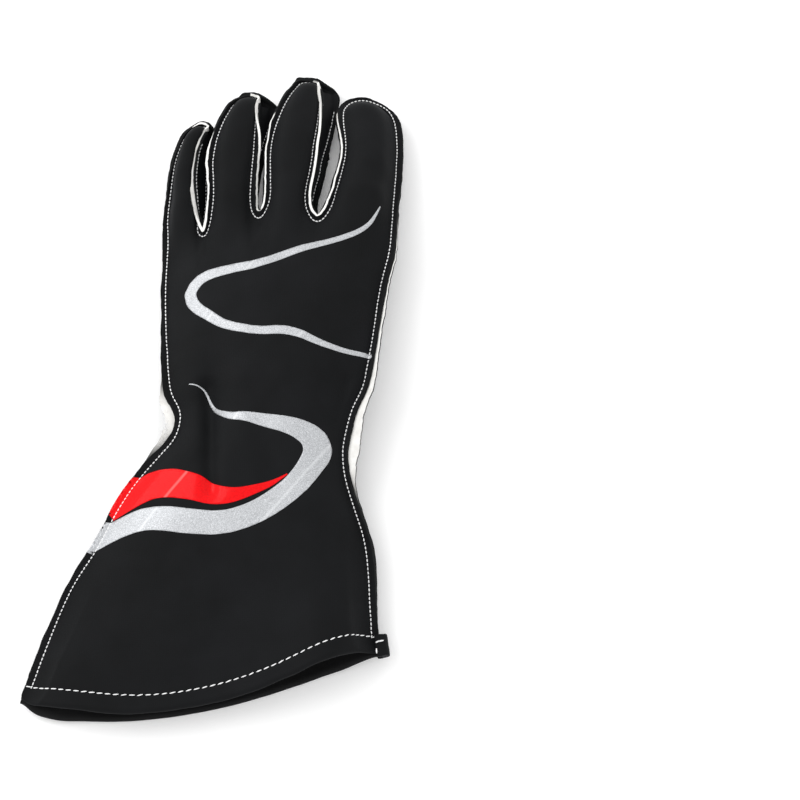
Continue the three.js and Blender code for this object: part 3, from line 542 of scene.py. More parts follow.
def coordinates(mesh):
    flat = np.empty(len(mesh.vertices) * 3, np.float32)
    mesh.vertices.foreach_get("co", flat)
    return flat.reshape(-1, 3).astype(float)


def evaluated_mesh(obj):
    graph = bpy.context.evaluated_depsgraph_get()
    graph.update()
    return bpy.data.meshes.new_from_object(
        obj.evaluated_get(graph), preserve_all_data_layers=True, depsgraph=graph)


def new_object(bm, name):
    mesh = bpy.data.meshes.new(name)
    bm.to_mesh(mesh)
    bm.free()
    obj = bpy.data.objects.new(name, mesh)
    bpy.context.scene.collection.objects.link(obj)
    return obj


def smooth_through_points(obj):
    """Replaces the object's mesh by a fine one that passes through its vertices."""
    goal = coordinates(obj.data)
    cage = goal.copy()
    modifier = obj.modifiers.new("smooth", "SUBSURF")
    modifier.levels = modifier.render_levels = LEVELS
    modifier.boundary_smooth = "ALL"
    for _ in range(PASSES):
        fine = evaluated_mesh(obj)
        miss = goal - coordinates(fine)[: len(goal)]
        bpy.data.meshes.remove(fine)
        cage += miss * STEP_SHARE
        obj.data.vertices.foreach_set("co", cage.astype(np.float32).ravel())
        obj.data.update()
    fine = evaluated_mesh(obj)
    left = np.abs(goal - coordinates(fine)[: len(goal)]).max()
    old = obj.data
    obj.modifiers.clear()
    obj.data = fine
    fine.name = old.name
    bpy.data.meshes.remove(old)
    print(obj.name, "fine faces", len(fine.polygons), "farthest from its points in mm", round(left / MM, 2))


# %% [markdown]
# ## Soft folds
# Knit that has been turned out and pressed flat is never even. A field of soft noise pushes the
# cloth about by less than a millimetre. It depends on the place alone, so layers that lie on each
# other move together, and it fades out near the table. At the gathered wrist the back also sinks in
# three valleys. A cloth simulation could make such folds too, but it would loosen the flat flanges,
# which are held by their stitches, so the folds are moves of the points.

# %% Soft folds
BIG_FOLD, BIG_PUSH = 40 * MM, 0.9 * MM
SMALL_FOLD, SMALL_PUSH = 12 * MM, 0.4 * MM
FREE_HEIGHT = 6 * MM  # below this the table steadies the cloth
noise.seed_set(5)  # without a seed, noise_vector differs from run to run
# Each valley at the wrist runs between two points, with a depth and a half width, in mm.
VALLEYS = [
    ((-5, -8), (-1, -64), 3.0, 4),
    ((66, -8), (63, -38), 2.6, 3.5),
    ((24, -30), (30, -60), 1.0, 7),
]


def soft_fold(point):
    big = noise.noise_vector(point / BIG_FOLD) * BIG_PUSH
    small = noise.noise_vector(point / SMALL_FOLD) * SMALL_PUSH
    return (big + small) * min(1, max(0, point.z / FREE_HEIGHT))


def valley_depth(point):
    """How far the valleys sink the cloth at a point. Each has a bell-shaped section and round ends."""
    depth = 0
    for start, end, deepest, half_width in VALLEYS:
        a, b, p = Vector(start) * MM, Vector(end) * MM, point.xy
        share = max(0, min(1, (p - a).dot(b - a) / (b - a).length_squared))
        off = (p - a.lerp(b, share)).length / (half_width * MM)
        depth += deepest * MM * math.exp(-off * off)
    return depth


# %% [markdown]
# ## Smooth lines
# Stitches, grooves and film outlines all follow lines that the model gives only as a few points.
# A curve object with automatic handles would pass through them too, but the points are wanted at an
# even spacing. So one function works out a smooth curve through them, and another spaces it.

# %% Smooth lines
SPAN_STEPS = 12  # steps of the curve between two given points


def evenly(points, spacing):
    """Points at an even spacing along the straight stretches between the given ones."""
    p = np.array([tuple(q) for q in points])
    along = np.concatenate([[0], np.cumsum(np.linalg.norm(np.diff(p, axis=0), axis=1))])
    even = np.linspace(0, along[-1], max(2, round(along[-1] / spacing) + 1))
    columns = [np.interp(even, along, p[:, k]) for k in range(3)]
    return [Vector(point) for point in np.stack(columns, axis=1)]


def smooth_line(points, spacing):
    """Evenly spaced points on a smooth curve through the given ones."""
    p = np.array([tuple(q) for q in points])
    padded = np.vstack([2 * p[0] - p[1], p, 2 * p[-1] - p[-2]])
    t = np.linspace(0, 1, SPAN_STEPS, endpoint=False)[:, None]
    spans = [(2 * b + (c - a) * t + (2 * a - 5 * b + 4 * c - d) * t**2 + (3 * b - a - 3 * c + d) * t**3) / 2
             for a, b, c, d in zip(padded, padded[1:], padded[2:], padded[3:])]
    return evenly(np.vstack([*spans, p[-1:]]), spacing)

# %% [markdown]
# ## Grooves and ragged edges
# The stitches pull a groove into the cloth, and the cut edges waver as scissors left them. Both
# depend on how near a point lies to a line, so the lines go into search trees that give the nearest
# point at once. Scissors held at a slant leave the foam a little past the knit, so the inside of
# the cloth may move further than the outside.

# %% Sculpt a sheet
RAGGED_REACH = 3.5 * MM  # the part of a flange that its ragged edge pulls along
RAGS = [(0.3, 2.4), (0.35, 8)]  # the push of each waver of the cut edge and its size, in mm
SEAM_REACH = 6 * MM  # valleys fade out this far from the cut edge, because the seam is stiff
GROOVE_STEP, GROOVE_WIDTH, GROOVE_DEPTH = 0.5 * MM, 1.1 * MM, 0.25 * MM
GUIDE_STEPS = 8  # points of a cut edge's guide between two points of the model


def point_tree(points):
    tree = KDTree(len(points))
    for k, point in enumerate(points):
        tree.insert(point, k)
    tree.balance()
    return tree


def edge_guide(runs):
    """Close-set points along the cut edges, each with the way out of the cloth."""
    points, ways = [], []
    for run in runs:
        for (s0, r0), (s1, r1) in zip(run, run[1:]):
            for k in range(GUIDE_STEPS):
                seam, rim = s0.lerp(s1, k / GUIDE_STEPS), r0.lerp(r1, k / GUIDE_STEPS)
                points.append(rim)
                ways.append((rim - seam).normalized())
    return point_tree(points), ways


def waver(point, rags):
    """How far a ragged edge strays at a point, in mm, as the sum of a few sizes of noise."""
    return sum(push * noise.noise(point / (size * MM)) for push, size in rags)


def sculpt(obj, edges, ways, sewn, spare, slant, drift, valleys):
    """Moves the sheet's points, and returns how far the slanted cut moves each point's inner twin.

    edges and ways are the guide along the cut edges, and sewn holds the lines of stitches. spare,
    slant and drift are functions of the place, as make_panel describes them.
    """
    flat = coordinates(obj.data)
    normals = [vert.normal.copy() for vert in obj.data.vertices]
    lean = [Vector()] * len(flat)
    groove = point_tree([point for line in sewn for point in smooth_line(line, GROOVE_STEP)])
    for k, (point, normal) in enumerate(zip([Vector(p) for p in flat], normals)):
        _, nearest, gap = edges.find(point)
        move = soft_fold(point) + drift(point, gap)
        if valleys:
            move.z -= valley_depth(point) * min(1, max(0, gap / SEAM_REACH - 1))
        off = groove.find(point)[2] / GROOVE_WIDTH
        move -= normal * GROOVE_DEPTH * math.exp(-off * off)
        if gap < RAGGED_REACH:
            ragged = waver(point, RAGS)
            move += ways[nearest] * (ragged * MM + spare(point)) * (1 - gap / RAGGED_REACH)
            lean[k] = ways[nearest] * slant(point) * (1 - gap / RAGGED_REACH)
        flat[k] += move
    flat[:, 2] = np.maximum(flat[:, 2], 0)
    obj.data.vertices.foreach_set("co", flat.astype(np.float32).ravel())
    obj.data.update()
    print(obj.name, "sculpted", len(flat), "points")
    return lean


# %% [markdown]
# ## Where the stitches lie
# A machine's foot runs along the cut edge, so the stitches keep an even distance from it, close to
# the bend between cloth and flange. Where the flange stands upright its stitches are seen from
# above only if they lie a little way up it.

# %% Stitch lines on the flanges
STITCH_SHARE = 0.06  # the stitches lie this far from the bend to the cut edge
UPRIGHT_SHARE = 0.4  # and this much further where the flange stands upright
EVEN_REACH = 3  # the width of the flange is evened out over so many points each way


def stitch_line(run, room):
    """A seam's stitches keep an even distance from the cut edge. room adds to it in tight turns."""
    widths = [(seam - rim).length for seam, rim in run]
    line = []
    for k, (seam, rim) in enumerate(run):
        near = widths[max(0, k - EVEN_REACH) : k + EVEN_REACH + 1]
        way = (seam - rim).normalized()
        flat_way = Vector((way.x, way.y, 0))
        share = STITCH_SHARE + UPRIGHT_SHARE * (1 - flat_way.length)
        line.append(rim + way * sum(near) / len(near) * (1 - share) + flat_way.normalized() * room(rim))
    return line


# %% [markdown]
# ## From sheet to cloth with a wall
# Each panel is cut from one layer of laminate, so Solidify gives it its wall inwards. Its material
# offsets put foam or lining on the inside, and the black and white section on the cut edge. The
# two attributes that the materials read are written once the wall is there.

# %% Wall of the cloth
SHARP = math.radians(50)  # edges that turn more than this are shaded sharp


def surface_of(obj):
    """The object's surface, in a form that finds its nearest point."""
    faces = [face.vertices for face in obj.data.polygons]
    return BVHTree.FromPolygons([vert.co for vert in obj.data.vertices], faces)


def give_wall(obj, wall, layers, bare, lean):
    """Gives a sheet its thickness, its three materials and the attributes depth and bare."""
    sheet_points = len(obj.data.vertices)
    for material in layers:  # the outside, the inside and the cut edge
        obj.data.materials.append(material)
    solidify = obj.modifiers.new("wall", "SOLIDIFY")
    solidify.thickness = wall
    solidify.offset = -1
    solidify.vertex_group = "wall"
    solidify.material_offset = 1
    solidify.material_offset_rim = 2
    solid = evaluated_mesh(obj)
    obj.modifiers.clear()
    old = obj.data
    obj.data = solid
    bpy.data.meshes.remove(old)
    for vert, shift in zip(solid.vertices[sheet_points:], lean):  # Solidify keeps the order inside
        vert.co += shift
    depth = solid.attributes.new("depth", "FLOAT", "POINT")
    depth.data.foreach_set("value", [0.0 if k < sheet_points else 1.0 for k in range(len(solid.vertices))])
    white = solid.attributes.new("bare", "FLOAT", "POINT")
    white.data.foreach_set("value", [float(bare(vert.co)) for vert in solid.vertices])
    solid.shade_smooth()
    solid.set_sharp_from_angle(angle=SHARP)

# %% [markdown]
# ## One maker for all the panels
# Back, palm, thumb and strips differ only in their sizes, their materials and how their edges were
# cut. So one function makes them all, and what differs is handed to it as small functions that give
# a size for a point of the cloth.

# %% Panel maker
GENTLE_CREASE = 0.5  # the flange bends from the cloth in a soft line, not a sharp one


def nowhere(point):
    return 0


def no_drift(point, gap):
    return Vector()


def everywhere(point):
    return 1


def make_panel(node, name, outwards, wall, layers, longest=LONGEST_FLANGE, hem=False,
               spare=nowhere, slant=nowhere, room=nowhere, drift=no_drift, bare=everywhere, valleys=False):
    """Makes a cloth piece from a node. Gives its surface, seam runs and hem line for what is sewn on.

    outwards is the way that the outside looks at a point. layers are the materials of the outside,
    the inside and the cut edge. spare widens the cloth at its cut edge, slant moves the inside of
    the cut out, room moves the stitches in, drift moves the cloth as a whole, and bare is 1 where
    the foam shows white. With valleys, the cloth sinks in the wrist's valleys.
    """
    bm = outer_sheet(node, outwards)
    runs = seam_runs(bm, longest)
    crease_seams(bm, runs, GENTLE_CREASE)
    runs = as_points(runs)
    hem_line = fold_hem(bm, wall) if hem else []
    settle_order(bm)
    obj = new_object(bm, name)
    obj.vertex_groups.new(name="wall")
    smooth_through_points(obj)
    seams = [stitch_line(run, room) for run in runs]
    edges, ways = edge_guide(runs)
    lean = sculpt(obj, edges, ways, seams + [hem_line] * hem, spare, slant, drift, valleys)
    hem_line = [point + drift(point, edges.find(point)[2]) for point in hem_line]
    surface = surface_of(obj)
    give_wall(obj, wall, layers, bare, lean)
    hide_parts(node)
    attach(obj, "root")
    return {"surface": surface, "seams": seams, "hem": hem_line, "runs": runs, "edges": edges, "ways": ways}


# %% [markdown]
# ## The gaps between the fingers
# Between two fingers the back's cut edge shows its white foam, because the scissors were held at a
# slant. In the two wide gaps the left flange leans over, and the stitches turn wider than the edge
# at each gap's foot. All of it depends on where a point lies beside the middle line of a gap.

# %% Gaps between the fingers
# Each gap, in mm: the foot of its middle line, the head, and how high its right edge is white.
GAPS = [((-9.7, 79), (-7, 157), 134), ((18.7, 86), (23, 164), 148), ((48.5, 83), (55, 170), 150)]
GAP_REACH = 12  # how far from the middle line a cut edge may lie, in mm


def off_middle(x, y, foot, head):
    """How far to the right of the line from foot to head a place lies."""
    return x - foot[0] - (head[0] - foot[0]) * (y - foot[1]) / (head[1] - foot[1])


def back_bare(point):
    """1 where the back's cut edge shows its white: round the gaps between the fingers."""
    x, y = point.x / MM, point.y / MM
    for foot, head, right_top in GAPS:
        off = off_middle(x, y, foot, head)
        if foot[1] - GAP_REACH < y < (head[1] if off < 0 else right_top) and abs(off) < GAP_REACH:
            return 1
    return 0


print("Gap lengths in mm:", [round(math.dist(foot, head)) for foot, head, _ in GAPS])

# %% Slanted cut of the back, in mm
LITTLE_SLANT = 1.2  # the gap beside the little finger has the widest white edge
LITTLE_END = 22  # and its cut is square again this far below the end of the white
FOOT_SLANT, TIP_SLANT = 0.2, 0.9  # at the foot of the other gaps, and what their upper part adds
TIP_START, TIP_SPAN = 0.55, 0.25  # where that part starts and how fast it grows, as shares
RIGHT_SLANT = 0.1  # on the right side of a gap, and added on the left too
SIDE_CHANGE = 2  # the left side turns to the right side over this width
SLANT_FADE = 8  # towards the end of the white the slant fades out over this length


def back_slant(point):
    """How far the slanted cut leaves the foam past the knit, most on the gaps' left sides."""
    x, y = point.x / MM, point.y / MM
    for foot, head, _ in GAPS:
        off = off_middle(x, y, foot, head)
        if foot[1] - GAP_REACH < y < head[1] and abs(off) < GAP_REACH:
            up = (y - foot[1]) / (head[1] - foot[1])
            left, end = FOOT_SLANT + TIP_SLANT * min(1, max(0, up - TIP_START) / TIP_SPAN), head[1]
            if foot[0] < 0:  # the gap beside the little finger
                left, end = LITTLE_SLANT, head[1] - LITTLE_END
            on_left = 0.5 - 0.5 * math.tanh(off / SIDE_CHANGE)
            return (left * on_left + RIGHT_SLANT) * min(1, max(0, end - y) / SLANT_FADE) * MM
    return 0


# %% Leaning flanges and room for the turning stitches
LEAN = 1.0 * MM  # how far a flange leans over
# The places and lengths below are in mm.
LEAN_END, LEAN_FADE = 5, 10  # the lean ends this far below the head, and grows over this length
FOOT_ROOM, FOOT_REACH = 1.7, 7  # extra room for the stitches near a gap's foot
CLOSER = 0.9  # round the two outer fingertips they run this much closer to the edge
INDEX_SIDE, INDEX_START, INDEX_FADE = 60, 148, 8  # right of this, from this height, over this length
LITTLE_SIDE, LITTLE_START, LITTLE_FADE = -20.5, 112, 15  # the same, left of this


def flange_lean(point, gap):
    """The flanges on the left of the two wide gaps lean over into them."""
    x, y = point.x / MM, point.y / MM
    for foot, head, _ in GAPS[1:]:
        off, end = off_middle(x, y, foot, head), head[1] - LEAN_END
        if foot[1] < y < end and -GAP_REACH < off < 0 and gap < RAGGED_REACH:
            rise = min(1, (y - foot[1]) / LEAN_FADE, (end - y) / LEAN_FADE)
            return Vector((LEAN * rise * (1 - gap / RAGGED_REACH), 0, 0))
    return Vector()


def turning_room(point):
    """The stitches pass wider round the foot of each gap, and closer round the outer fingertips."""
    x, y = point.x / MM, point.y / MM
    nearest = min(math.dist(foot, (x, y)) for foot, _, _ in GAPS)
    index_tip = (y - INDEX_START) / INDEX_FADE if x > INDEX_SIDE else 0
    little_side = (y - LITTLE_START) / LITTLE_FADE if x < LITTLE_SIDE else 0
    closer = CLOSER * min(1, max(0, index_tip, little_side))
    return (FOOT_ROOM * math.exp(-((nearest / FOOT_REACH) ** 2)) - closer) * MM

# %% [markdown]
# ## The mouth of the cuff
# An empty cuff doesn't lie shut. Its back rises in two soft waves over the palm, which rests on the
# table, while the side seams hold the layers together. Such a shape could be modelled in the cage,
# but a few bell-shaped moves of the fine surface are easier to place and to change.

# %% Mouth of the cuff
# Each rise, in mm: where it is along x, its half width, and the move in y and z.
BACK_RISES = [(-66, 30, 2.6, 4.5), (62, 24, 3.2, 6.0)]
PALM_RISES = [(-76, 15, -2.0, 0.0)]
MOUTH = [(-90, -158), (-60, -165), (-30, -165), (10, -158), (50, -145), (82, -135)]  # the hem's line
RISE_REACH = 65  # the rise fades out this far up the cuff
SEAM_HOLD = 14  # the side seams hold the two layers together over this distance
HELD_SHARE = 0.4  # and let this much of the move in y through
BLUNT_REACH, BLUNT_WAY = 10, Vector((2.4, 1.6, 0))  # the hem's outer corner is turned in bluntly

back_points = [vert.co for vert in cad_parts["back_panel"].data.vertices]
CUFF_TIP = min(back_points, key=lambda co: co.x).copy()
print("Outer corner of the cuff in mm:", [round(c / MM, 1) for c in CUFF_TIP])


def rises(shape):
    """The cuff's mouth gapes: returns a function that moves cloth near the mouth."""
    def drift(point, gap):
        x, y = point.x / MM, point.y / MM
        corner = max(0, 1 - (point - CUFF_TIP).length / MM / BLUNT_REACH)
        above = (y - np.interp(x, *zip(*MOUTH))) / RISE_REACH
        fade = 1 - min(1, max(0, above))
        fade = fade * fade * (3 - 2 * fade)
        free = min(1, gap / MM / SEAM_HOLD)
        move = flange_lean(point, gap) + BLUNT_WAY * corner * corner * MM
        for middle, width, in_y, in_z in shape:
            share = math.exp(-(((x - middle) / width) ** 2)) * fade
            held = HELD_SHARE + (1 - HELD_SHARE) * free
            move += Vector((0, in_y * held, in_z * free * free)) * share * MM
        return move
    return drift

# %% [markdown]
# ## The palm's white edge
# The palm piece was cut a little wider than the back, so its white foam shows past the seam up the
# thumb side and at the wrist. How white the edge is and how far it stands out both fade along it,
# because a sudden change would look painted.

# %% White edge of the palm, in mm
THUMB_SIDE, LITTLE_FINGER_SIDE = 40, -10  # right of the first, left of the second
WHITE_TOP, TOP_FADE = 80, 2  # on the thumb side the white ends here above
WHITE_FOOT, FOOT_FADE = -60, 3  # and here below
WRIST_WHITE, WRIST_HALF = -22, 17  # the middle and half length of the white on the other side
# How much wider the palm is: up the thumb side, what the wrist adds there, and on the other side.
THUMB_SPARE, WRIST_SPARE, LITTLE_SPARE = -0.2, 1.6, 1.5
WRIST_MIDDLE, WRIST_REACH = -34, 20  # where WRIST_SPARE is added on the thumb side
PALM_RAGS = [(0.6, 5), (0.5, 1.8)]  # as RAGS, but coarser


def palm_bare(point):
    """1 where the palm's white foam shows: up the thumb side, and at the wrist on the other side."""
    x, y = point.x / MM, point.y / MM
    if x > THUMB_SIDE:
        return 1 / (1 + math.exp((y - WHITE_TOP) / TOP_FADE)) / (1 + math.exp((WHITE_FOOT - y) / FOOT_FADE))
    return math.exp(-(((y - WRIST_WHITE) / WRIST_HALF) ** 4)) if x < LITTLE_FINGER_SIDE else 0


def palm_spare(point):
    """How much wider than the back the palm was cut."""
    width = LITTLE_SPARE
    if point.x / MM > THUMB_SIDE:
        off = (point.y / MM - WRIST_MIDDLE) / WRIST_REACH
        width = THUMB_SPARE + WRIST_SPARE * math.exp(-(off**2))
    return (width + waver(point, PALM_RAGS)) * palm_bare(point) * MM

# %% [markdown]
# ## The cloth panels
# The back is one piece of knit from the cuff to four fingertips. The palm piece lies under it.
# Three narrow strips stand between the fingers, and the thumb is a piece of its own on the palm.

# %% Back and palm
BACK_WALL, PALM_WALL, STRIP_WALL, THUMB_WALL = 1.5 * MM, 1.3 * MM, 1.1 * MM, 1.3 * MM

back = make_panel("back_panel", "back_cloth", lambda p: Vector((0, 0, 1)), BACK_WALL,
                  (knit_cloth, foam, cut_edge), hem=True, slant=back_slant, room=turning_room,
                  drift=rises(BACK_RISES), bare=back_bare, valleys=True)
palm = make_panel("palm_panel", "palm_cloth", lambda p: Vector((0, 0, -1)), PALM_WALL,
                  (palm_cloth, foam, palm_edge), hem=True, spare=palm_spare,
                  drift=rises(PALM_RISES), bare=palm_bare)

# %% Thumb and strips between the fingers
THUMB_MIDDLE = Vector((40, 15, 8)) * MM
STRIP_FLANGE = 5 * MM  # the widest flange of a strip
thumb = make_panel("thumb", "thumb_cloth", lambda p: p - THUMB_MIDDLE, THUMB_WALL,
                   (palm_cloth, lining, palm_edge))


def lean_with_back(point, _):
    """A strip is sewn to the back's flange, so it leans as far as that does."""
    return flange_lean(point, back["edges"].find(point)[2])


strips = []
for node in ("side_strip_ring_little", "side_strip_middle_ring", "side_strip_index_middle"):
    low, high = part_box(node)
    gap_middle = (low[0] + high[0]) / 2
    strips.append(make_panel(node, node.replace("side_strip", "strip"),
                             lambda p: Vector((gap_middle - p.x, 0, 0)), STRIP_WALL,
                             (knit_cloth, lining, cut_edge), longest=STRIP_FLANGE,
                             drift=lean_with_back, bare=nowhere))

# %% [markdown]
# ## White thread
# The seams are lockstitched in white polyester with a stitch every 2 mm, and the hem with longer
# stitches. On a lockstitch each stitch is a short bow of thread that dives into the cloth at both
# ends, so each is a small stretched sphere, half sunk in its groove. Spun polyester has a soft
# silky gloss, broken by its twist, and takes up a little grey with use.

# %% Thread
TWIST_SIZE, TWIST_DEPTH = 0.9 * MM, 0.05 * MM
SOIL_SIZE = 14 * MM


def thread_material():
    material, tree = new_material("polyester_thread_white")
    place = add(tree, "ShaderNodeTexCoord").outputs["Object"]
    twist = add(tree, "ShaderNodeTexWave", {"Vector": place, "Scale": 1 / TWIST_SIZE, "Distortion": 1.0},
                bands_direction="DIAGONAL")
    soil = add(tree, "ShaderNodeTexNoise", {"Vector": place, "Scale": 1 / SOIL_SIZE})
    colour = add(tree, "ShaderNodeValToRGB", {"Fac": soil.outputs["Fac"]},
                 stops=[(0.3, linear("EBEBEC")), (0.6, linear("FCFCFC"))])
    bump = add(tree, "ShaderNodeBump", {
        "Strength": 0.3, "Distance": TWIST_DEPTH, "Height": twist.outputs["Fac"],
    })
    shader = add(tree, "ShaderNodeBsdfPrincipled", {
        "Base Color": colour.outputs["Color"], "Roughness": 0.55, "Specular IOR Level": 0.4,
        "Normal": bump.outputs["Normal"], "Sheen Weight": 0.2,
    })
    finish_material(tree, shader)
    return material


thread = thread_material()
print("Thread:", thread.name)

# %% [markdown]
# ## Sewing
# A seam has hundreds of stitches, so one stitch is made once, with few faces, and copied along the
# line into a single mesh. The line is laid on the cloth's surface first, and each copy is turned so
# that it lies flat on it. A machine isn't quite even, so each stitch sways and varies a little.

# %% Sewing
SEAM_PITCH, SEAM_STITCH, SEAM_THREAD = 2.1 * MM, 1.7 * MM, 0.68 * MM
HEM_PITCH, HEM_STITCH, HEM_THREAD = 3.9 * MM, 3.0 * MM, 0.65 * MM
HEM_SLANT = 0.12  # in radians
SWAY = 0.05  # how much the stitches turn, in radians
STITCH_LENGTHS = (0.9, 1.05)  # the shortest and longest, as shares
FLATTENED = 0.9  # height of the thread, as a share of its width
PROUD = 0.3  # how far its middle stands above the cloth, as a share of its width
EVEN_PASSES = 2


def thread_bow():
    """A stitch of unit size: a sphere whose poles lie at its two ends."""
    bm = bmesh.new()
    bmesh.ops.create_uvsphere(bm, u_segments=6, v_segments=5, radius=0.5)
    bow = bpy.data.meshes.new("bow")
    bm.to_mesh(bow)
    bm.free()
    return bow


def even_out(vectors):
    """Takes the jumps out of a row, where the nearest surface changes sides of a groove."""
    row = np.array([tuple(v) for v in vectors])
    for _ in range(EVEN_PASSES):
        row[1:-1] = (row[:-2] + 2 * row[1:-1] + row[2:]) / 4
    return [Vector(v) for v in row]


def sew(name, lines, surface, pitch, length, width, slant=0.0):
    """Rows of stitches along lines on a surface. slant turns each a little, as a machine does."""
    chance = random.Random(name)
    bow = thread_bow()
    bm = bmesh.new()
    for line in lines:
        path = [surface.find_nearest(point)[:2] for point in smooth_line(line, pitch)]
        places = [surface.find_nearest(place)[0] for place in even_out([place for place, _ in path])]
        normals = even_out([normal for _, normal in path])
        for a, b, normal in zip(places, places[1:], normals):
            normal = normal.normalized()
            along = Matrix.Rotation(slant + chance.gauss(0, SWAY), 3, normal) @ (b - a)
            along = (along - normal * along.dot(normal)).normalized()
            turn = Matrix((normal.cross(along), normal, along)).transposed().to_4x4()
            size = Matrix.Diagonal((width, width * FLATTENED, length * chance.uniform(*STITCH_LENGTHS), 1))
            stitch = bow.copy()
            stitch.transform(Matrix.Translation(a.lerp(b, 0.5) + normal * width * PROUD) @ turn @ size)
            bm.from_mesh(stitch)
            bpy.data.meshes.remove(stitch)
    bpy.data.meshes.remove(bow)
    obj = new_object(bm, name)
    obj.data.materials.append(thread)
    obj.data.shade_smooth()
    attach(obj, "root")
    print(name, "faces", len(obj.data.polygons))
    return obj


# %% Seams and hems
sewn = {"back": back, "palm": palm, "thumb": thumb}
sewn.update({f"strip_{number}": strip for number, strip in enumerate(strips, 1)})
for title, piece in sewn.items():
    sew(title + "_seam_stitches", piece["seams"], piece["surface"], SEAM_PITCH, SEAM_STITCH, SEAM_THREAD)
for title in ("back", "palm"):
    sew(title + "_hem_stitches", [sewn[title]["hem"]], sewn[title]["surface"],
        HEM_PITCH, HEM_STITCH, HEM_THREAD, slant=HEM_SLANT)

# %% [markdown]
# ## The finish of the printed film
# The silver and red shapes are heat-pressed film. It is a smooth skin that hides the knit under it,
# with fine grain. Thin pale lines along slanting creases are painted highlight, where folded film
# catches the light. The silver is aluminium flake in a clear binder, part metal and part plastic,
# and the red is polyurethane.

# %% Film finishes
CREASE_SPACING = 45 * MM
CREASE_TURN = math.radians(35)
CREASE_START, CREASE_HIGHLIGHT_SHARE = 0.9975, 0.45  # where a wave counts as a crease, and how far the painted highlight on it lightens the colour
WRINKLE_SIZE, WRINKLE_HEIGHT = 7 * MM, 6.0  # soft wrinkles, so many times as high as the grain


def with_painted_crease_highlights(tree, place, colour, light):
    """Paints highlight into the colour along thin slanting creases, where folded film catches the light."""
    turned = add(tree, "ShaderNodeMapping", {"Vector": place, "Rotation": (0, 0, CREASE_TURN)})
    folds = add(tree, "ShaderNodeTexWave", {
        "Vector": turned.outputs["Vector"], "Scale": WAVE_LENGTH / CREASE_SPACING,
        "Distortion": 1.5, "Detail": 1, "Detail Scale": 0.6,
    }, bands_direction="X")
    line = add(tree, "ShaderNodeValToRGB", {"Fac": folds.outputs["Fac"]},
               stops=[(CREASE_START, (0, 0, 0, 1)), (1.0, (CREASE_HIGHLIGHT_SHARE,) * 3 + (1,))])
    mix = add(tree, "ShaderNodeMix", {"Factor": line.outputs["Color"], "A": colour, "B": light},
              data_type="RGBA")
    return mix.outputs["Result"]


def grain_bump(tree, place, size_mm, strength, depth_mm):
    """Fine grain over soft wrinkles. Gives the grain itself and the bump of both."""
    grain = add(tree, "ShaderNodeTexNoise", {"Vector": place, "Scale": 1 / (size_mm * MM), "Detail": 2})
    wrinkle = add(tree, "ShaderNodeTexNoise", {
        "Vector": place, "Scale": 1 / WRINKLE_SIZE, "Detail": 4, "Distortion": 1.2,
    })
    height = add(tree, "ShaderNodeMath", {
        0: wrinkle.outputs["Fac"], 1: WRINKLE_HEIGHT, 2: grain.outputs["Fac"],
    }, operation="MULTIPLY_ADD")
    bump = add(tree, "ShaderNodeBump", {
        "Strength": strength, "Distance": depth_mm * MM, "Height": height.outputs[0],
    })
    return grain.outputs["Fac"], bump.outputs["Normal"]


def silver_material():
    """Aluminium flake in a clear binder: a metal grey with fine sparkle."""
    material, tree = new_material("heat_pressed_film_silver")
    place = add(tree, "ShaderNodeTexCoord").outputs["Object"]
    grain, normal = grain_bump(tree, place, 0.45, 0.35, 0.03)
    colour = add(tree, "ShaderNodeValToRGB", {"Fac": grain},
                 stops=[(0.32, linear("9C9EA1")), (0.5, linear("B6B8BB")), (0.68, linear("D2D4D7"))])
    # The pale crease lines on the silver are painted highlight.
    crease_highlighted = with_painted_crease_highlights(tree, place, colour.outputs["Color"], linear("DBDDDF"))
    shader = add(tree, "ShaderNodeBsdfPrincipled", {
        "Base Color": crease_highlighted, "Metallic": 0.4, "Roughness": 0.48, "Normal": normal,
    })
    finish_material(tree, shader)
    return material


def red_material():
    """Polyurethane film: a full red under a smooth clear skin."""
    material, tree = new_material("heat_pressed_film_red")
    place = add(tree, "ShaderNodeTexCoord").outputs["Object"]
    grain, normal = grain_bump(tree, place, 1.1, 0.55, 0.05)
    colour = add(tree, "ShaderNodeValToRGB", {"Fac": grain},
                 stops=[(0.3, linear("DA0008")), (0.7, linear("EC040C"))])
    # The pink crease lines on the red are painted highlight.
    crease_highlighted = with_painted_crease_highlights(tree, place, colour.outputs["Color"], linear("FF8A88"))
    shader = add(tree, "ShaderNodeBsdfPrincipled", {
        "Base Color": crease_highlighted, "Roughness": 0.4, "Specular IOR Level": 0.06, "Normal": normal,
        "Coat Weight": 0.18, "Coat Roughness": 0.14,
    })
    finish_material(tree, shader)
    return material


silver = silver_material()
red = red_material()
print("Films:", silver.name, red.name)

# %% [markdown]
# ## Outlines of the film
# The film's nodes have faceted outlines. A curve through their points is smooth, but it would round
# off the sharp tips too, so the outline is first cut into sections at its corners. Where a stripe
# runs over a seam it was trimmed with the cloth, so its outline is pushed past the cut edge.

# %% Film outlines
CORNER = math.radians(50)  # the outline has a corner where it turns more than this
SAME_POINT = 0.4 * MM  # points of the faceted outline that lie closer are one
OUTLINE_STEP, FINE_STEP = 3 * MM, 0.8 * MM
TRIM_REACH = 3.2 * MM  # film that comes this near the cloth's cut edge was trimmed with it
PUSH_PAST = 2  # and is moved out by this many times its distance inside that reach


def smooth_outline(bm):
    """The outline of the film as evenly spaced points, smooth between its sharp corners."""
    rough = [vert.co.copy() for vert in boundary_loops(bm)[0]]
    points = [p for k, p in enumerate(rough) if (p - rough[k - 1]).length > SAME_POINT]
    count = len(points)
    turns = [(p - points[k - 1]).angle(points[(k + 1) % count] - p) for k, p in enumerate(points)]
    corners = [k for k in range(count) if turns[k] > CORNER]
    outline = []
    for first, last in zip(corners, [*corners[1:], corners[0] + count]):
        section = [points[k % count] for k in range(first, last + 1)]
        outline += smooth_line(evenly(section, OUTLINE_STEP), FINE_STEP)[:-1]
    return outline


